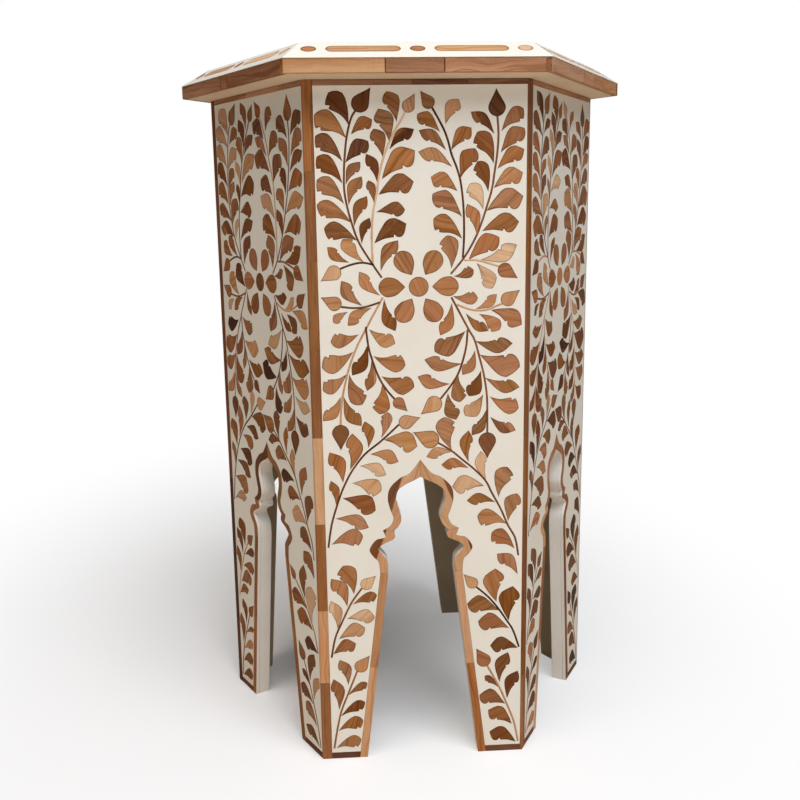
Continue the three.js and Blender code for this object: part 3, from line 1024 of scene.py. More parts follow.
def stem_tree():
    """Lays a strip along each line. The line's points carry its tone and seed."""
    inputs = {
        "Geometry": "Geometry",
        "Width": "Float",
        "Thickness": "Float",
        "Proud": "Float",
        "Teak": "Material",
    }
    tree, given = node_group("laid_stems", "GeometryNodeTree", inputs, {"Geometry": "Geometry"})
    curve = node(tree, "GeometryNodeMeshToCurve", {0: given["Geometry"]})[0]
    upright = node(tree, "GeometryNodeSetCurveNormal", {0: curve}, mode="Z_UP")[0]
    grain = vector_of(tree, 0, node(tree, "GeometryNodeSplineParameter")["Length"], 0)
    section = {"Width": given["Width"], "Height": given["Thickness"]}
    inputs = {
        "Curve": stored(tree, upright, "grain_at", grain, "FLOAT_VECTOR"),
        "Profile Curve": node(tree, "GeometryNodeCurvePrimitiveQuadrilateral", section)[0],
        "Fill Caps": True,
    }
    swept = node(tree, "GeometryNodeCurveToMesh", inputs)[0]
    rise = times_plus(tree, given["Thickness"], -0.5, given["Proud"])
    inputs = {"Geometry": swept, "Offset": vector_of(tree, 0, 0, rise)}
    made_real(tree, node(tree, "GeometryNodeSetPosition", inputs)[0], given["Teak"])
    return tree


laid_stems = stem_tree()


def stems(paths, material):
    """Lays a stem along each (tone, seed, path), into one mesh, just lower than the leaves."""
    lines = bpy.data.meshes.new("paths")
    points = []
    edges = []
    for _, _, path in paths:
        first = len(points)
        points += [(p.x, p.y, 0) for p in path]
        edges += [(first + i, first + i + 1) for i in range(len(path) - 1)]
    lines.from_pydata(points, edges, [])
    for i, name in enumerate(("tone", "seed")):
        values = [stem[i] for stem in paths for _ in stem[2]]
        lines.attributes.new(name, "FLOAT", "POINT").data.foreach_set("value", values)
    values = {
        "Width": STEM_WIDTH,
        "Thickness": INLAY_DEPTH,
        "Proud": INLAY_PROUD / 2,
        "Teak": material,
    }
    return grown_by_tree(laid_stems, lines, values)


def unlike_tone(draw):
    """A shade of teak, as the offcuts come: mostly middling, some pale and some dark."""
    chance = draw.random()
    for up_to, pale, dark in OFFCUTS:
        if chance < up_to:
            return draw.uniform(pale, dark)


# What sets the grain of one stem apart from the next.
STEM_SEED_STEP = 0.61


class Inlay:
    """What is let into one face: the places of its leaves and buds, its stems and its pockets."""

    def __init__(self, room, seed):
        self.room = room
        self.seed = seed
        self.draw = random.Random(seed)
        self.places = []
        self.stems = []
        self.pockets = []
        self.taken = []
        self.crossed = []

    def take(self, outline):
        """Keeps other pieces off an outline, and cuts its pocket."""
        self.pockets.append(grown(outline, INLAY_GLUE))
        kept_off = grown(outline, PIECE_GAP)
        self.taken.append((reach_of(kept_off), kept_off))

    def fits(self, outline, base, bare):
        """Whether an outline lies clear. Its first bare millimetres may touch a stem."""
        if not all(inside(p, self.room) for p in outline):
            return False
        box = reach_of(outline)
        for other_box, other in self.taken:
            if not apart(box, other_box):
                if any(inside(p, other) for p in outline) or any(inside(p, outline) for p in other):
                    return False
        head = [p for p in outline if (p - base).length > bare]
        for strip_box, strip in self.crossed:
            if not apart(box, strip_box) and any(inside(p, strip) for p in head):
                return False
        return True

    def lay(self, shapes, base, reach, width, tone):
        """Lays a leaf or a bud from its base: the largest of its shapes that fits."""
        turn = math.atan2(reach.y, reach.x)
        for step in range(FIT_TRIES):
            length = reach.length * SHORTER**step
            stretch = (length, width * NARROWER**step * length, INLAY_DEPTH)
            laid_outlines = [turned(vine_outlines[shape], base, turn, stretch) for shape in shapes]
            clear = [self.fits(outline, base, BARE_SHARE * length) for outline in laid_outlines]
            if any(clear):
                break
        chosen = clear.index(True) if any(clear) else 0
        proud = INLAY_PROUD + self.draw.uniform(-PROUD_DRIFT, PROUD_DRIFT)
        self.places.append((*base, proud, turn, stretch, shapes[chosen], tone))
        self.take(laid_outlines[chosen])

    def stem(self, tone, path):
        self.stems.append((tone, self.seed + STEM_SEED_STEP * len(self.stems), path))
        strip = ribbon(path, STEM_WIDTH + 2 * INLAY_GLUE)
        self.pockets.append(strip)
        self.crossed.append((reach_of(strip), strip))

    def bud(self, path, tip, tone):
        self.lay([BUD_SHAPE], path[-1], tip - path[-1], 1.0, tone)

    def leaf(self, path, head, base, tone, broad=1.0):
        """Lays a leaf. Its hollow side faces away from where the stem grows to."""
        near = min(range(len(path)), key=lambda i: (path[i] - base).length)
        way = path[min(near + 1, len(path) - 1)] - path[max(near - 1, 0)]
        base = base + (head - base).normalized() * LEAF_NECK
        reach = head - base
        hollow_right = reach.x * way.y - reach.y * way.x > 0
        first = 0 if hollow_right else len(LEAF_RUNS)
        shapes = list(range(first, first + len(LEAF_RUNS)))
        self.draw.shuffle(shapes)
        self.lay(shapes, base, reach, self.draw.uniform(*LEAF_WIDTHS) * broad, tone)


def draw_face(bay, room, flower):
    """One face's drawing, as it came out on that side, round its flower's outlines."""
    inlay = Inlay(room, VINE_SEED + bay)
    draw = inlay.draw
    for outline in flower:
        inlay.take(outline)
    starts = [draw.uniform(0, math.tau) for _ in range(4)]
    darker_foot, darker_top = FACE_DARKER.get(SIDES[bay], (0, 0))
    drift = FACE_DRIFT if bay > 0 else 0
    scale = (field_right - field_left) / (DRAWING_RIGHT - DRAWING_LEFT)

    def sway(at, waves, start, shorter_start):
        long, short, share = waves
        return drift * (math.sin(at / long + start) + share * math.sin(at / short + shorter_start))

    def placed(x, y, loose=0.0):
        across = x + sway(y, WAVES_ACROSS, *starts[:2]) + draw.uniform(-loose, loose)
        up = y + sway(x, WAVES_UP, *starts[2:]) + draw.uniform(-loose, loose)
        across = field_left + (across - DRAWING_LEFT) * scale
        across = min(max(across, field_left + STEM_WIDTH), field_right - STEM_WIDTH)
        return point(across, min(up, field_top - STEM_WIDTH))

    def shade(tone, height):
        if bay == 0:
            return tone
        darker = darker_foot + (darker_top - darker_foot) * height / panel_top
        return unlike_tone(draw) + darker

    paths = []
    for spray in SPRAYS:
        tone, *knots = spray["stem"]
        path = smooth([placed(*knot) for knot in knots], steps=5)
        inlay.stem(tone if bay == 0 else draw.choice(STEM_TONES), path)
        paths.append(path)
    for spray, path in zip(SPRAYS, paths):
        tip_x, tip_y, tone = spray["bud"]
        inlay.bud(path, placed(tip_x, tip_y), shade(tone, tip_y))
    for spray, path in zip(SPRAYS, paths):
        for head_x, head_y, base_x, base_y, tone in spray["leaves"]:
            head = placed(head_x, head_y, loose=LOOSE_HEAD * drift)
            base = placed(base_x, base_y)
            broad = BROAD_LEAF if bay > 0 or base.y < BROAD_BELOW else 1.0
            if bay > 0:
                head = base + (head - base) * LONG_LEAF
            inlay.leaf(path, head, base, shade(tone, base_y), broad)
    return inlay


def vine_meshes(inlay):
    leaf_mesh = laid(vine_shapes, inlay.places, inlay_teak, inlay.seed)
    return {"vine_leaves": leaf_mesh, "vine_stems": stems(inlay.stems, inlay_teak)}


# Resin skins
# The space round the teak is cast full of cream-white resin, which is then ground and
# polished down until the wood shows. So every piece lies in a pocket of its own shape,
# and the skin ends at the strips that frame it.
POCKET_FLOOR = INLAY_DEPTH + 0.1
ROOM_MARGIN = 0.45
FLOWER_SEED = 200
PETAL_SEED = 210
cast_resin = coated(
    "cast_resin", pale=(0.775, 0.765, 0.71), deep=(0.735, 0.705, 0.63),
    stroke_length=700, roughness=0.3, relief=0.12, gloss=0.25,
)


def pocketed_face(bm, field, pockets, place=Matrix()):
    """Adds a flat face with pockets cut into it, and gives the points round its edge."""
    corners = []
    rings = []
    for outline in [field] + pockets:
        rings.append(list(range(len(corners), len(corners) + len(outline))))
        corners += outline
    only_inside, nearness = 1, 1e-4
    result = delaunay_2d_cdt(corners, [], rings, only_inside, nearness)
    flat, _, triangles, first_of, _, owners = result
    tops = {}
    floors = {}

    def vert(kept, i):
        if i not in kept:
            height = 0 if kept is tops else -POCKET_FLOOR
            kept[i] = bm.verts.new(place @ Vector((flat[i].x, flat[i].y, height)))
        return kept[i]

    sunk = [len(own) > 1 for own in owners]
    beside = {}
    for t, triangle in enumerate(triangles):
        if 0 not in owners[t]:
            continue
        bm.faces.new([vert(floors if sunk[t] else tops, i) for i in triangle])
        for i, start in enumerate(triangle):
            beside[(start, triangle[(i + 1) % len(triangle)])] = t
    for (start, end), t in beside.items():
        other = beside.get((end, start))
        if other is not None and sunk[other] and not sunk[t]:
            wall = (vert(tops, end), vert(tops, start), vert(floors, start), vert(floors, end))
            bm.faces.new(wall)
    number_of = {first: i for i, firsts in enumerate(first_of) for first in firsts}
    return [tops[number_of[i]] for i in rings[0]]


def resin_skin(field, pockets):
    """A slab of resin with pockets in its face."""
    bm = bmesh.new()
    edge = pocketed_face(bm, field, pockets)
    under = [bm.verts.new((p.x, p.y, -resin_back)) for p in field]
    bm.faces.new(list(reversed(under)))
    for i in range(len(edge)):
        j = (i + 1) % len(edge)
        bm.faces.new((under[i], under[j], edge[j], edge[i]))
    return mesh_of(bm, cast_resin)


field = field_outline(FIELD_GAP)
for bay in range(len(SIDES)):
    draw = random.Random(FLOWER_SEED + bay)
    # The shades of a flower differ half as much as those of the leaves.
    tones = [0.25 + unlike_tone(draw) / 2 for _ in ROSETTE_TONES] if bay > 0 else ROSETTE_TONES
    places, flower = rosette(rosette_centre, 1.0, tones)
    inlay = draw_face(bay, grown(field, -ROOM_MARGIN), flower)
    mesh = laid(rosette_shapes, places, inlay_teak, PETAL_SEED + bay)
    put_on_panel(bay, "rosette_pieces", mesh, "teak_inlay", "rosette")
    for kind, mesh in vine_meshes(inlay).items():
        put_on_panel(bay, kind, mesh, "teak_inlay")
    put_on_panel(bay, "resin_face", resin_skin(field, inlay.pockets), "white_resin", "resin_skin")

# Arch trims
# A band of teak follows each opening. It is glued up from eight lengths, butted at the
# peak, at the cusps, at the tops of the legs and halfway down them. Its edge inside the
# opening is painted over with the board.
TRIM_ARRIS = 0.3
TRIM_BUTT = 0.05
LEG_JOINT_SHARE = 0.5
ARCH_LENGTHS = 8
ARCH_SEED = 300
ARCH_TONES = {
    "front": [0.2, 0.38, 0.28, 0.26, 0.26, 0.28, 0.24, 0.46],
    "front_right": [0.2, 0.26, 0.2, 0.24, 0.5, 0.6, 0.66, 0.62],
    "front_left": [0.5, 0.56, 0.52, 0.6, 0.55, 0.6, 0.5, 0.58],
}
BACK_ARCH_TONES = (0.2, 0.6)
# Where the dark heartwood starts in a length, outwards of a line through two points. Each is
# so far out from the middle of the arch and so far down from its peak.
ARCH_HEARTS = {
    2: ((32.2, 54.5), (37.6, 70.3)),
    3: ((16.3, 3), (24.3, 28.7)),
    4: ((19.3, 3), (26.7, 20.8)),
    5: ((38.1, 51.5), (42.6, 66.3)),
}


def past_line(p, line):
    """How far a point of an arch lies past the line where its heartwood starts."""
    start, end = [point(out, -down) for out, down in line]
    way = (end - start).normalized()
    reach = point(abs(p.x - side / 2), p.y - arch_height) - start
    return way.x * reach.y - way.y * reach.x


def trim_length(bm, outline):
    """One length of trim, eased round its face and a little short at its joints."""
    return plate(bm, grown(outline, -TRIM_BUTT), -resin_back, 0, TRIM_ARRIS)


def arch_trim(tones, seed, hearts):
    """The trim's lengths, from the left foot over the peak to the right foot."""
    inner, outer = arch_edges()
    lobe_end = len(ARCH_LOBE[1:]) * ARCH_STEPS + 2
    joint_in = inner[0].lerp(inner[1], LEG_JOINT_SHARE)
    joint_out = outer[0].lerp(outer[1], LEG_JOINT_SHARE)
    lengths = [
        ([inner[0], joint_in], [outer[0], joint_out]),
        ([joint_in, inner[1]], [joint_out, outer[1]]),
        (inner[1:lobe_end + 1], outer[1:lobe_end + 1]),
        (inner[lobe_end:], outer[lobe_end:]),
    ]
    bm = drawing("tone", "seed", "heart")
    for i, (near, far) in enumerate(lengths):
        for on_right in (False, True):
            line = [(p, True) for p in near] + [(p, False) for p in reversed(far)]
            start, end = near[0], near[-1]
            number = i
            if on_right:
                line = [(point(side - p.x, p.y), painted) for p, painted in reversed(line)]
                start, end = point(side - start.x, start.y), point(side - end.x, end.y)
                number = ARCH_LENGTHS - 1 - i
            faces = trim_length(bm, [p for p, _ in line])
            mark(bm, faces, start, end, tone=tones[number], seed=seed + number)
            if number in hearts:
                for vert in points_of(faces):
                    vert[bm.verts.layers.float["heart"]] = past_line(vert.co, hearts[number])
            for j, face in enumerate(faces[2:2 + len(line)]):
                if line[j][1] and line[(j + 1) % len(line)][1]:
                    face.material_index = 1
    mesh = mesh_of(bm, strip_teak, edge_paint)
    smooth_but_creased(mesh)
    return mesh


for bay, name in enumerate(SIDES):
    draw = random.Random(ARCH_SEED + bay)
    tones = ARCH_TONES.get(name, [draw.uniform(*BACK_ARCH_TONES) for _ in range(ARCH_LENGTHS)])
    mesh = arch_trim(tones, ARCH_SEED + 10 * bay, ARCH_HEARTS if bay == 0 else {})
    put_on_panel(bay, "arch_trim_lengths", mesh, "teak_strip", "arch_trim")

# Corner strips
# Up the left end of each face runs a strip of teak that fills the corner and is planed
# flush with both faces. It is made of eight short lengths, end to end.
STRIP_ARRIS = 0.35
STRIP_BUTT = 0.06
STRIP_LENGTHS = 8
STRIP_DRIFT = 3.5
FRONT_STRIP_JOINTS = [74, 142, 221, 297, 372, 444, 515]
FRONT_STRIP_TONES = [0.56, 0.22, 0.54, 0.2, 0.62, 0.61, 0.6, 0.5]
STRIP_TONE_RANGES = {"front_right": (0.58, 0.68), "front_left": (0.7, 0.8), "back_right": (0.62, 0.72)}
BACK_STRIP_TONES = (0.4, 0.64)
STRIP_SEED = 400
strip_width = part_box("corner_strip_front")[1].x / MM + side / 2
strip_edge = resin_back * MITRE
strip_length = panel_top / STRIP_LENGTHS


def eased(outline, by):
    """An outline with each corner cut off a little."""
    cut = []
    for i, corner in enumerate(outline):
        for other in (outline[i - 1], outline[(i + 1) % len(outline)]):
            cut.append(corner + (other - corner).normalized() * by)
    return cut


def strip_shape(length):
    """One length of corner strip, standing on its end in the drawing."""
    section = [
        point(0, 0),
        point(strip_width, 0),
        point(strip_width, -resin_back),
        point(strip_edge, -resin_back),
        point(-strip_edge * math.cos(BAY_TURN), -strip_edge * math.sin(BAY_TURN)),
    ]
    bm = drawing()
    ring = eased(section, STRIP_ARRIS)
    ends = (STRIP_BUTT, length - STRIP_BUTT)
    faces = loft(bm, [[Vector((p.x, end, p.y)) for p in ring] for end in ends])
    bmesh.ops.recalc_face_normals(bm, faces=faces)
    mark(bm, faces, point(0, 0), point(0, 1))
    return bm


strip_shapes = shape_box("strip_shapes", [strip_shape(strip_length)])
for bay, name in enumerate(SIDES):
    draw = random.Random(STRIP_SEED + bay)
    joints = [i * strip_length + draw.uniform(-STRIP_DRIFT, STRIP_DRIFT) for i in range(1, STRIP_LENGTHS)]
    joints = [0] + (FRONT_STRIP_JOINTS if bay == 0 else joints) + [panel_top]
    pale, dark = STRIP_TONE_RANGES.get(name, BACK_STRIP_TONES)
    places = []
    for i, (start, end) in enumerate(zip(joints, joints[1:])):
        stretch = (1, (end - start) / strip_length, 1)
        tone = FRONT_STRIP_TONES[i] if bay == 0 else draw.uniform(pale, dark)
        places.append((0, start, 0, 0, stretch, 0, tone))
    mesh = laid(strip_shapes, places, strip_teak, STRIP_SEED + bay)
    put_on_panel(bay, "corner_strip_lengths", mesh, "teak_strip", "corner_strip")

# Top and foot trims
# A thin dark strip in three lengths closes each face right under the top, and another
# crosses the bottom of each leg.
dark_teak = teak("dark_teak", darker=0.12, faded=0.12)
TOP_TRIM_JOINTS = (0.46, 0.72)
TOP_TRIM_DRIFT = 0.08
TOP_TRIM_TONES = {
    "front": (0.46, 0.66, 0.56),
    "front_left": (0.3, 0.24, 0.36),
    "front_right": (0.3, 0.3, 0.34),
}
BACK_TRIM_TONES = (0.3, 0.6)
TOP_TRIM_SEED = 500


def box_outline(left, bottom, right, top):
    return [point(left, bottom), point(right, bottom), point(right, top), point(left, top)]


def cut_lengths(joints, drift, bay, draw):
    """The start and the end of each length, as shares. Off the front, the joints drift."""
    shares = [0, *[share + draw.uniform(-drift, drift) * (bay > 0) for share in joints], 1]
    return list(zip(shares, shares[1:]))


trim_low, trim_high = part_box("top_trim_front")
for bay, name in enumerate(SIDES):
    draw = random.Random(TOP_TRIM_SEED + bay)
    bm = drawing("tone", "seed")
    for i, ends in enumerate(cut_lengths(TOP_TRIM_JOINTS, TOP_TRIM_DRIFT, bay, draw)):
        left, right = [field_left + (field_right - field_left) * end for end in ends]
        faces = trim_length(bm, box_outline(left, trim_low.z / MM, right, trim_high.z / MM))
        tone = TOP_TRIM_TONES[name][i] if name in TOP_TRIM_TONES else draw.uniform(*BACK_TRIM_TONES)
        seed = TOP_TRIM_SEED + 3 * bay + i
        mark(bm, faces, point(left, 0), point(right, 0), tone=tone, seed=seed)
    put_on_panel(bay, "top_trim_lengths", mesh_of(bm, dark_teak), "dark_teak", "top_trim")

FOOT_TONES = (0.6, 0.74)
FOOT_SEED = 600
foot_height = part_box("foot_trim_left_front")[1].z / MM
leg_edge = arch_edges(FIELD_GAP)[1]
foot_in = leg_edge[0]
foot_up = leg_edge[0].lerp(leg_edge[1], foot_height / leg_edge[1].y)
foot_outlines = {
    "left": [point(field_left, 0), foot_in, foot_up, point(field_left, foot_height)],
    "right": [
        point(side - foot_in.x, 0),
        point(field_right, 0),
        point(field_right, foot_height),
        point(side - foot_up.x, foot_height),
    ],
}
for bay in range(len(SIDES)):
    draw = random.Random(FOOT_SEED + bay)
    for hand, outline in foot_outlines.items():
        bm = drawing("tone", "seed")
        faces = trim_length(bm, outline)
        tone = draw.uniform(*FOOT_TONES)
        mark(bm, faces, outline[0], outline[1], tone=tone, seed=FOOT_SEED + 2 * bay)
        mesh = mesh_of(bm, dark_teak)
        put_on_panel(bay, f"foot_strip_{hand}", mesh, "dark_teak", f"foot_trim_{hand}")

# Batten frame
# Inside, six battens of plain sawn wood are glued to the boards and to the underside of
# the top, mitred where they meet.
BATTEN_ARRIS = 0.8
BATTEN_WIDTH = 20
BATTEN_TONE = 0.3
batten_wood = teak("batten_wood", darker=-0.18, roughness=0.6, gloss=0.2)
batten_low, batten_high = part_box("batten_frame")
batten_out = batten_high.y / MM
batten_in = batten_out - BATTEN_WIDTH


def batten():
    """One batten, drawn as seen from above, at the front."""
    corners = ((batten_out, -1), (batten_out, 1), (batten_in, 1), (batten_in, -1))
    outline = [point(hand * (reach * MITRE - MITRE_GAP), -reach) for reach, hand in corners]
    bm = drawing()
    faces = plate(bm, outline, batten_low.z / MM, batten_high.z / MM)
    mark(bm, faces, point(0, 0), point(1, 0))
    return bm


batten_shapes = shape_box("batten_shapes", [batten()])
places = [(0, 0, 0, bay * BAY_TURN, (1, 1, 1), 0, BATTEN_TONE) for bay in range(len(SIDES))]
mesh = laid(batten_shapes, places, batten_wood, seed=650, tone_spread=0.12)
battens = put("battens", mesh, Matrix.Scale(MM, 4), "batten_wood", "batten_frame")
ease(battens, BATTEN_ARRIS)

# Top board
# The top is a six-sided board with bevelled edges. Its underside, which shows where it
# stands out over the body, is painted cream.
soffit_paint = coated(
    "soffit_paint", pale=(0.76, 0.63, 0.48), deep=(0.66, 0.53, 0.39),
    stroke_length=300, roughness=0.45, relief=0.3, gloss=0.2,
)
top_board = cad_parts["top_board"]
top_board.data.materials.clear()
top_board.data.materials.append(soffit_paint)

# Edge bands
# Teak bands edge the top, three lengths to a side. The left end of each side runs out
# to the corner and covers its neighbour, so that the end of its grain shows there.
BAND_ARRIS = 0.5
BAND_JOINTS = (0.375, 0.595)
BAND_DRIFT = 0.1
# The shades of each length, along its lower edge and along its upper edge.
BAND_TONES = {
    "front": ((0.18, 0.4), (0.52, 0.58), (0.38, 0.44)),
    "front_left": ((0.48, 0.56), (0.54, 0.58), (0.56, 0.6)),
    "front_right": ((0.34, 0.38), (0.36, 0.38), (0.34, 0.36)),
}
BACK_BAND_TONES = (0.3, 0.6)
BAND_SEED = 700
edge_teak = teak("edge_teak", faded=0.08)
end_teak = teak("end_grain_teak", darker=0.24, roughness=0.5)
band_low, band_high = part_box("edge_band_front")
band_bottom, band_top = band_low.z / MM, band_high.z / MM
top_apothem = -band_low.y / MM
top_side = 2 * top_apothem * MITRE
band_thickness = (band_high.y - band_low.y) / MM
covered = 2 * band_thickness * MITRE + TRIM_BUTT


def band_length(bm, start, end):
    """One length of band. The first runs out to its corner, and the last stops short of it."""
    rings = []
    for depth, arris in ((band_thickness, 0), (BAND_ARRIS, 0), (0, BAND_ARRIS)):
        left = top_side * start if start > 0 else -depth * MITRE
        right = top_side * end if end < 1 else top_side - covered + depth * MITRE
        outline = box_outline(left + TRIM_BUTT, band_bottom, right - TRIM_BUTT, band_top)
        rings.append(at_height(grown(outline, -arris), -depth))
    return loft(bm, rings)


for bay, name in enumerate(SIDES):
    draw = random.Random(BAND_SEED + bay)
    bm = drawing("tone", "seed")
    for i, (start, end) in enumerate(cut_lengths(BAND_JOINTS, BAND_DRIFT, bay, draw)):
        faces = band_length(bm, start, end)
        below, above = BAND_TONES[name][i] if name in BAND_TONES else [draw.uniform(*BACK_BAND_TONES)] * 2
        mark(bm, faces, point(0, 0), point(1, 0), tone=below, seed=BAND_SEED + 3 * bay + i)
        for vert in points_of(faces):
            if vert.co.y > (band_bottom + band_top) / 2:
                vert[bm.verts.layers.float["tone"]] = above
        bm.normal_update()
        # The faces across a length show the ends of its grain.
        for face in faces[2:]:
            if abs(face.normal.x) > 0.7:
                face.material_index = 1
    mesh = mesh_of(bm, edge_teak, end_teak)
    place = standing(bay, top_apothem, top_side)
    put(f"edge_band_lengths_{name}", mesh, place, "edge_teak", f"edge_band_{name}")

# Top inlay
# Round dots and round-ended bars lie in the bevels, and on the flat a large rosette has a
# spray of leaves running out to each corner and to the middle of each side.
BEVEL_RUN = 21
BEVEL_RISE = 13.6
CAP_RIM = 0.6
DOT_LENGTH = 12
DOT_WIDTH = 9.6
BAR_WIDTH = 10
BAR_END_STEPS = 12
INLAY_GAP = 7
END_MARGIN = 6.5
RISE_SHARE = 0.55
BEVEL_RIM_WIDTH = 1.8
BEVEL_TONES = (0.3, 0.22, 0.27, 0.15, 0.12)
BEVEL_SEED = 750
cap_low, cap_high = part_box("top_resin_cap")
cap_bottom = cap_low.z / MM
rim_top = cap_bottom + CAP_RIM
cap_top = cap_high.z / MM
bevel_angle = math.atan2(BEVEL_RISE, BEVEL_RUN)
bevel_slope = math.hypot(BEVEL_RUN, BEVEL_RISE)
row_length = top_side - 2 * MITRE * BEVEL_RUN * RISE_SHARE - 2 * END_MARGIN
bar_length = (row_length - 3 * DOT_LENGTH - 4 * INLAY_GAP) / 2
end_dot = (row_length - DOT_LENGTH) / 2
bar_centre = (DOT_LENGTH + bar_length) / 2 + INLAY_GAP


def bar_outline():
    straight = (bar_length - BAR_WIDTH) / 2
    ends = []
    for hand in (1, -1):
        for step in range(BAR_END_STEPS + 1):
            turn = -math.pi / 2 + math.pi * step / BAR_END_STEPS
            across = straight + math.cos(turn) * BAR_WIDTH / 2
            ends.append(point(hand * across, hand * math.sin(turn) * BAR_WIDTH / 2))
    return ends


def on_bevel(bay):
    """Takes a drawing of a bevel, with its X along the edge of the top, to its place."""
    tilt = Matrix.Translation((0, -top_apothem, rim_top)) @ Matrix.Rotation(bevel_angle, 4, "X")
    return Matrix.Rotation(bay * BAY_TURN, 4, "Z") @ tilt


dot = [point(p.x, p.y * DOT_WIDTH / DOT_LENGTH) for p in circle(DOT_LENGTH / 2, steps=28)]
bevel_outlines = (dot, bar_outline())
bevel_shapes = shape_box(
    "bevel_shapes",
    [inlay_shape(outline, grain=(1, 0), rim_width=BEVEL_RIM_WIDTH) for outline in bevel_outlines],
)
bevel_row = zip((-end_dot, -bar_centre, 0, bar_centre, end_dot), (0, 1, 0, 1, 0), BEVEL_TONES)
bevel_places = []
bevel_pockets = []
for x, shape, tone in bevel_row:
    centre = point(x, bevel_slope * RISE_SHARE)
    bevel_places.append((*centre, INLAY_PROUD, 0, (1, 1, INLAY_DEPTH), shape, tone))
    bevel_pockets.append(grown(turned(bevel_outlines[shape], centre, 0), INLAY_GLUE))
joined = bmesh.new()
for layer in ("tone", "seed", "rim"):
    joined.verts.layers.float.new(layer)
for bay in range(len(SIDES)):
    seed = BEVEL_SEED + len(bevel_places) * bay
    mesh = laid(bevel_shapes, bevel_places, inlay_teak, seed, tone_spread=0.1)
    mesh.transform(Matrix.Scale(MM, 4) @ on_bevel(bay))
    joined.from_mesh(mesh)
put("bevel_dots_and_bars", mesh_of(joined, inlay_teak), Matrix(), "teak_inlay", "bevel_inlay")

MEDALLION_SCALE = 1.9
MEDALLION_TONES = [0.4, 0.5, 0.42, 0.36, 0.52, 0.44, 0.4]
TOP_STEM_TONES = (0.3, 0.7, 0.8, 0.9)
TOP_LEAF_PAIRS = 5
TOP_LEAF = 17
TOP_LEAF_LEAN = 1.1
TOP_BUD = 19
TOP_SWAY = 5
TOP_SWAY_WAVES = 0.8
TOP_KNOTS = 6
# How far the sprays stop from the edge of the flat, and the leaves keep from it.
TOP_MARGIN = 26
FLAT_MARGIN = 2.5
# A spray to a corner starts out past the petals, and a short one to a side between them.
CORNER_START = 4
SIDE_START_SHARE = 0.62
SIDE_LEAF_SHARE = 0.85
# How much farther a corner of the top lies from its middle than a side does.
CORNER_SHARE = 1 / math.cos(BAY_TURN / 2)
flat_apothem = top_apothem - BEVEL_RUN
flat_field = circle(flat_apothem * CORNER_SHARE, len(SIDES))
top_flat = Inlay(grown(flat_field, -FLAT_MARGIN), seed=800)


def top_spray(heading, to_corner):
    """A spray on the flat of the top: a long one to a corner, or a short one to a side."""
    draw = top_flat.draw
    petal_end = (PETAL_START + PETAL_LENGTH) * MEDALLION_SCALE
    first = petal_end + CORNER_START if to_corner else petal_end * SIDE_START_SHARE
    reach = flat_apothem * (CORNER_SHARE if to_corner else 1) - TOP_MARGIN
    knots = []
    for step in range(TOP_KNOTS + 1):
        share = step / TOP_KNOTS
        sway = TOP_SWAY * math.sin(share * math.tau * TOP_SWAY_WAVES) * (1 if to_corner else -1)
        knots.append(point(first + (reach - first) * share, sway))
    path = smooth(turned(knots, (0, 0), heading), steps=4)
    top_flat.stem(draw.choice(TOP_STEM_TONES), path)
    tip = path[-1] + (path[-1] - path[-2]).normalized() * TOP_BUD
    top_flat.bud(path, tip, unlike_tone(draw))
    for pair in range(TOP_LEAF_PAIRS):
        for hand in (-1, 1):
            # The two leaves of a pair leave the stem half a step apart.
            at = int((pair + 0.35 + 0.25 * hand) / TOP_LEAF_PAIRS * (len(path) - 1))
            at = min(max(at, 1), len(path) - 2)
            way = (path[at + 1] - path[at - 1]).normalized()
            lean = way + point(-way.y, way.x) * hand * TOP_LEAF_LEAN
            size = TOP_LEAF * (0.8 + 0.2 * math.sin(math.pi * (pair + 0.5) / TOP_LEAF_PAIRS))
            head = path[at] + lean.normalized() * size * (1 if to_corner else SIDE_LEAF_SHARE)
            top_flat.leaf(path, head, path[at], unlike_tone(draw))


places, medallion = rosette(point(0, 0), MEDALLION_SCALE, MEDALLION_TONES)
for outline in medallion:
    top_flat.take(outline)
for i in range(2 * len(SIDES)):
    top_spray(math.tau * i / (2 * len(SIDES)), to_corner=i % 2 == 0)
on_flat = Matrix.Scale(MM, 4) @ Matrix.Translation((0, 0, cap_top - 2 * INLAY_PROUD))
mesh = laid(rosette_shapes, places, inlay_teak, seed=820)
put("medallion_pieces", mesh, on_flat, "teak_inlay", "top_medallion")
for kind, mesh in vine_meshes(top_flat).items():
    put(f"{kind}_top", mesh, on_flat, "teak_inlay")

# Resin cap
# Over the top board lies a shell of the same cream resin, cast round its inlay, with six
# bevels that fall to a thin rim on the edge bands.
CAP_THICKNESS = 3
HIP_EASE = 0.4


def hexagon(bm, reach, height):
    """Six points round the axis, the first at the front's left corner."""
    corners = circle(reach * CORNER_SHARE, len(SIDES))
    return [bm.verts.new((*corners[bay - 2], height)) for bay in range(len(SIDES))]


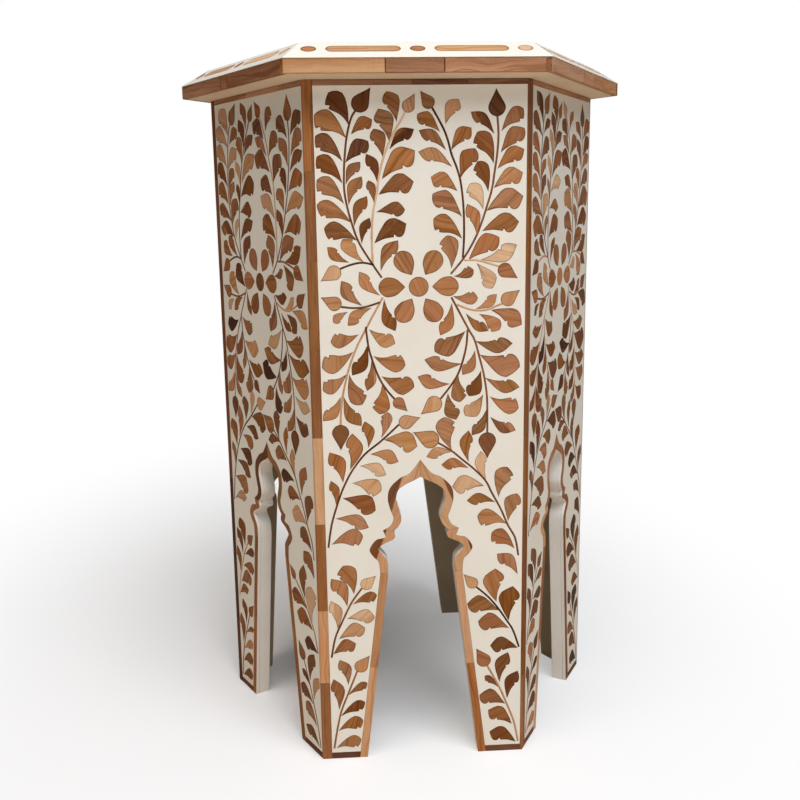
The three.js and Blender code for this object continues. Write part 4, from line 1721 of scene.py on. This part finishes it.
def resin_cap():
    """The shell: its flat and its bevels with their pockets, then its rim and its underside."""
    bm = bmesh.new()
    flat = [p * (1 - HIP_EASE / flat_apothem) for p in flat_field]
    flat_ring = pocketed_face(bm, flat, top_flat.pockets, Matrix.Translation((0, 0, cap_top)))
    low_half = top_side / 2 - HIP_EASE * CORNER_SHARE
    high_half = low_half - BEVEL_RUN * MITRE
    slope = [
        point(-low_half, HIP_EASE),
        point(low_half, HIP_EASE),
        point(high_half, bevel_slope - HIP_EASE),
        point(-high_half, bevel_slope - HIP_EASE),
    ]
    slopes = [pocketed_face(bm, slope, bevel_pockets, on_bevel(bay)) for bay in range(len(SIDES))]
    steepness = math.tan(bevel_angle)
    drop = CAP_THICKNESS / math.cos(bevel_angle)
    ceiling_height = cap_top - CAP_THICKNESS
    rim = hexagon(bm, top_apothem, rim_top - HIP_EASE / 2)
    foot = hexagon(bm, top_apothem, cap_bottom)
    inner = hexagon(bm, top_apothem - (drop - CAP_RIM) / steepness, cap_bottom)
    ceiling = hexagon(bm, top_apothem - (ceiling_height + drop - rim_top) / steepness, ceiling_height)
    for bay in range(len(SIDES)):
        after = (bay + 1) % len(SIDES)
        corner, next_corner = flat_ring[bay - 2], flat_ring[bay - 1]
        left, right, up_right, up_left = slopes[bay]
        next_left, _, _, next_up_left = slopes[after]
        bm.faces.new((up_left, up_right, next_corner, corner))
        bm.faces.new((right, next_left, next_up_left, up_right))
        bm.faces.new((up_right, next_up_left, next_corner))
        bm.faces.new((rim[bay], rim[after], right, left))
        bm.faces.new((rim[after], next_left, right))
        for lower, upper in ((foot, rim), (inner, foot), (ceiling, inner)):
            bm.faces.new((lower[bay], lower[after], upper[after], upper[bay]))
    bm.faces.new(list(reversed(ceiling)))
    return mesh_of(bm, cast_resin)


put("resin_top", resin_cap(), Matrix.Scale(MM, 4), "white_resin", "top_resin_cap")

# Studio
# A pale floor that turns white away from the stool, three soft lights in front, of which
# the largest hangs high on the right, and the camera where the photographer stood.
FLOOR_SIZE = 14
FLOOR_WHITE_FROM = -0.1
FLOOR_WHITE_TO = 1.0
FLOOR_MIDDLE = (-0.11, 0.03, 0)
FLOOR_REACH = (0.66, 1.15, 1)
# The floor's colour in the picture, and the colour of the light that it sends back up.
FLOOR_COLOUR = (0.93, 0.94, 0.955, 1)
FLOOR_GLOW = (0.74, 0.61, 0.48, 1)
# The world is white to the camera, and lights the stool only this much.
WORLD_LIGHT = 0.16
WHITE = (1, 1, 1, 1)
bpy.ops.mesh.primitive_grid_add(x_subdivisions=2, y_subdivisions=2, size=FLOOR_SIZE)
floor = bpy.context.object
floor.name = "studio_floor"
floor_material = empty_material("studio_floor")
tree = floor_material.node_tree
position = node(tree, "ShaderNodeTexCoord")["Object"]
away = vector_math(tree, "DIVIDE", vector_math(tree, "SUBTRACT", position, FLOOR_MIDDLE), FLOOR_REACH)
away = node(tree, "ShaderNodeVectorMath", {0: away}, operation="LENGTH")["Value"]
away = between(tree, away, FLOOR_WHITE_FROM, FLOOR_WHITE_TO)
seen = node(tree, "ShaderNodeLightPath")["Is Camera Ray"]
matt = node(tree, "ShaderNodeBsdfDiffuse", {"Color": mixed(tree, seen, FLOOR_GLOW, FLOOR_COLOUR)})[0]
white = node(tree, "ShaderNodeEmission", {"Color": WHITE, "Strength": 1})[0]
inputs = {0: math_node(tree, "MULTIPLY", away, seen), 1: matt, 2: white}
node(tree, "ShaderNodeOutputMaterial", {"Surface": node(tree, "ShaderNodeMixShader", inputs)[0]})
floor.data.materials.append(floor_material)

world = bpy.data.worlds.new("studio")
bpy.context.scene.world = world
world.use_nodes = True
tree = world.node_tree
tree.nodes.clear()
seen = node(tree, "ShaderNodeLightPath")["Is Camera Ray"]
strength = times_plus(tree, seen, 1 - WORLD_LIGHT, WORLD_LIGHT)
backdrop = node(tree, "ShaderNodeBackground", {"Color": WHITE, "Strength": strength})[0]
node(tree, "ShaderNodeOutputWorld", {"Surface": backdrop})


def softbox(name, place, target, size, power, colour):
    light = bpy.data.lights.new(name, "AREA")
    light.color = colour
    light.shape = "SQUARE"
    light.size = size
    light.energy = power
    lamp = bpy.data.objects.new(name, light)
    lamp.location = place
    lamp.rotation_euler = (Vector(target) - Vector(place)).to_track_quat("-Z", "Y").to_euler()
    bpy.context.scene.collection.objects.link(lamp)


softbox("key", (0.57, -1.34, 2.5), (0, 0, 0.3), size=1.6, power=52.5, colour=(0.98, 1, 1.03))
softbox("left", (-0.75, -0.8, 2.5), (0, 0, 0.3), size=1, power=20.5, colour=(1, 0.88, 0.78))
softbox("low", (0.1, -1.35, 0.2), (0, 0, 0.1), size=0.8, power=3.6, colour=(0.99, 1, 1.01))

CAMERA_PLACE = (-0.06623, -0.93083, 0.49065)
CAMERA_YAW = -0.05975
CAMERA_PITCH = 0.19698
CAMERA_ROLL = -0.01458
FOCAL_PIXELS = 948.85
PHOTO_PIXELS = 800
SENSOR_WIDTH = 36
SHIFT = (0.00504, -0.01121)
camera_data = bpy.data.cameras.new("camera")
camera_data.sensor_width = SENSOR_WIDTH
camera_data.lens = FOCAL_PIXELS / PHOTO_PIXELS * SENSOR_WIDTH
camera_data.shift_x, camera_data.shift_y = SHIFT
camera_data.clip_start = 0.01
camera = bpy.data.objects.new("camera", camera_data)
bpy.context.scene.collection.objects.link(camera)
ahead = Vector((
    -math.sin(CAMERA_YAW) * math.cos(CAMERA_PITCH),
    math.cos(CAMERA_YAW) * math.cos(CAMERA_PITCH),
    -math.sin(CAMERA_PITCH),
))
level = Vector((math.cos(CAMERA_YAW), math.sin(CAMERA_YAW), 0))
upright = level.cross(ahead)
right = level * math.cos(CAMERA_ROLL) + upright * math.sin(CAMERA_ROLL)
up = upright * math.cos(CAMERA_ROLL) - level * math.sin(CAMERA_ROLL)
turn = Matrix((right, up, -ahead)).transposed().to_4x4()
camera.matrix_world = Matrix.Translation(CAMERA_PLACE) @ turn
bpy.context.scene.camera = camera
bpy.context.scene.view_settings.view_transform = "Standard"
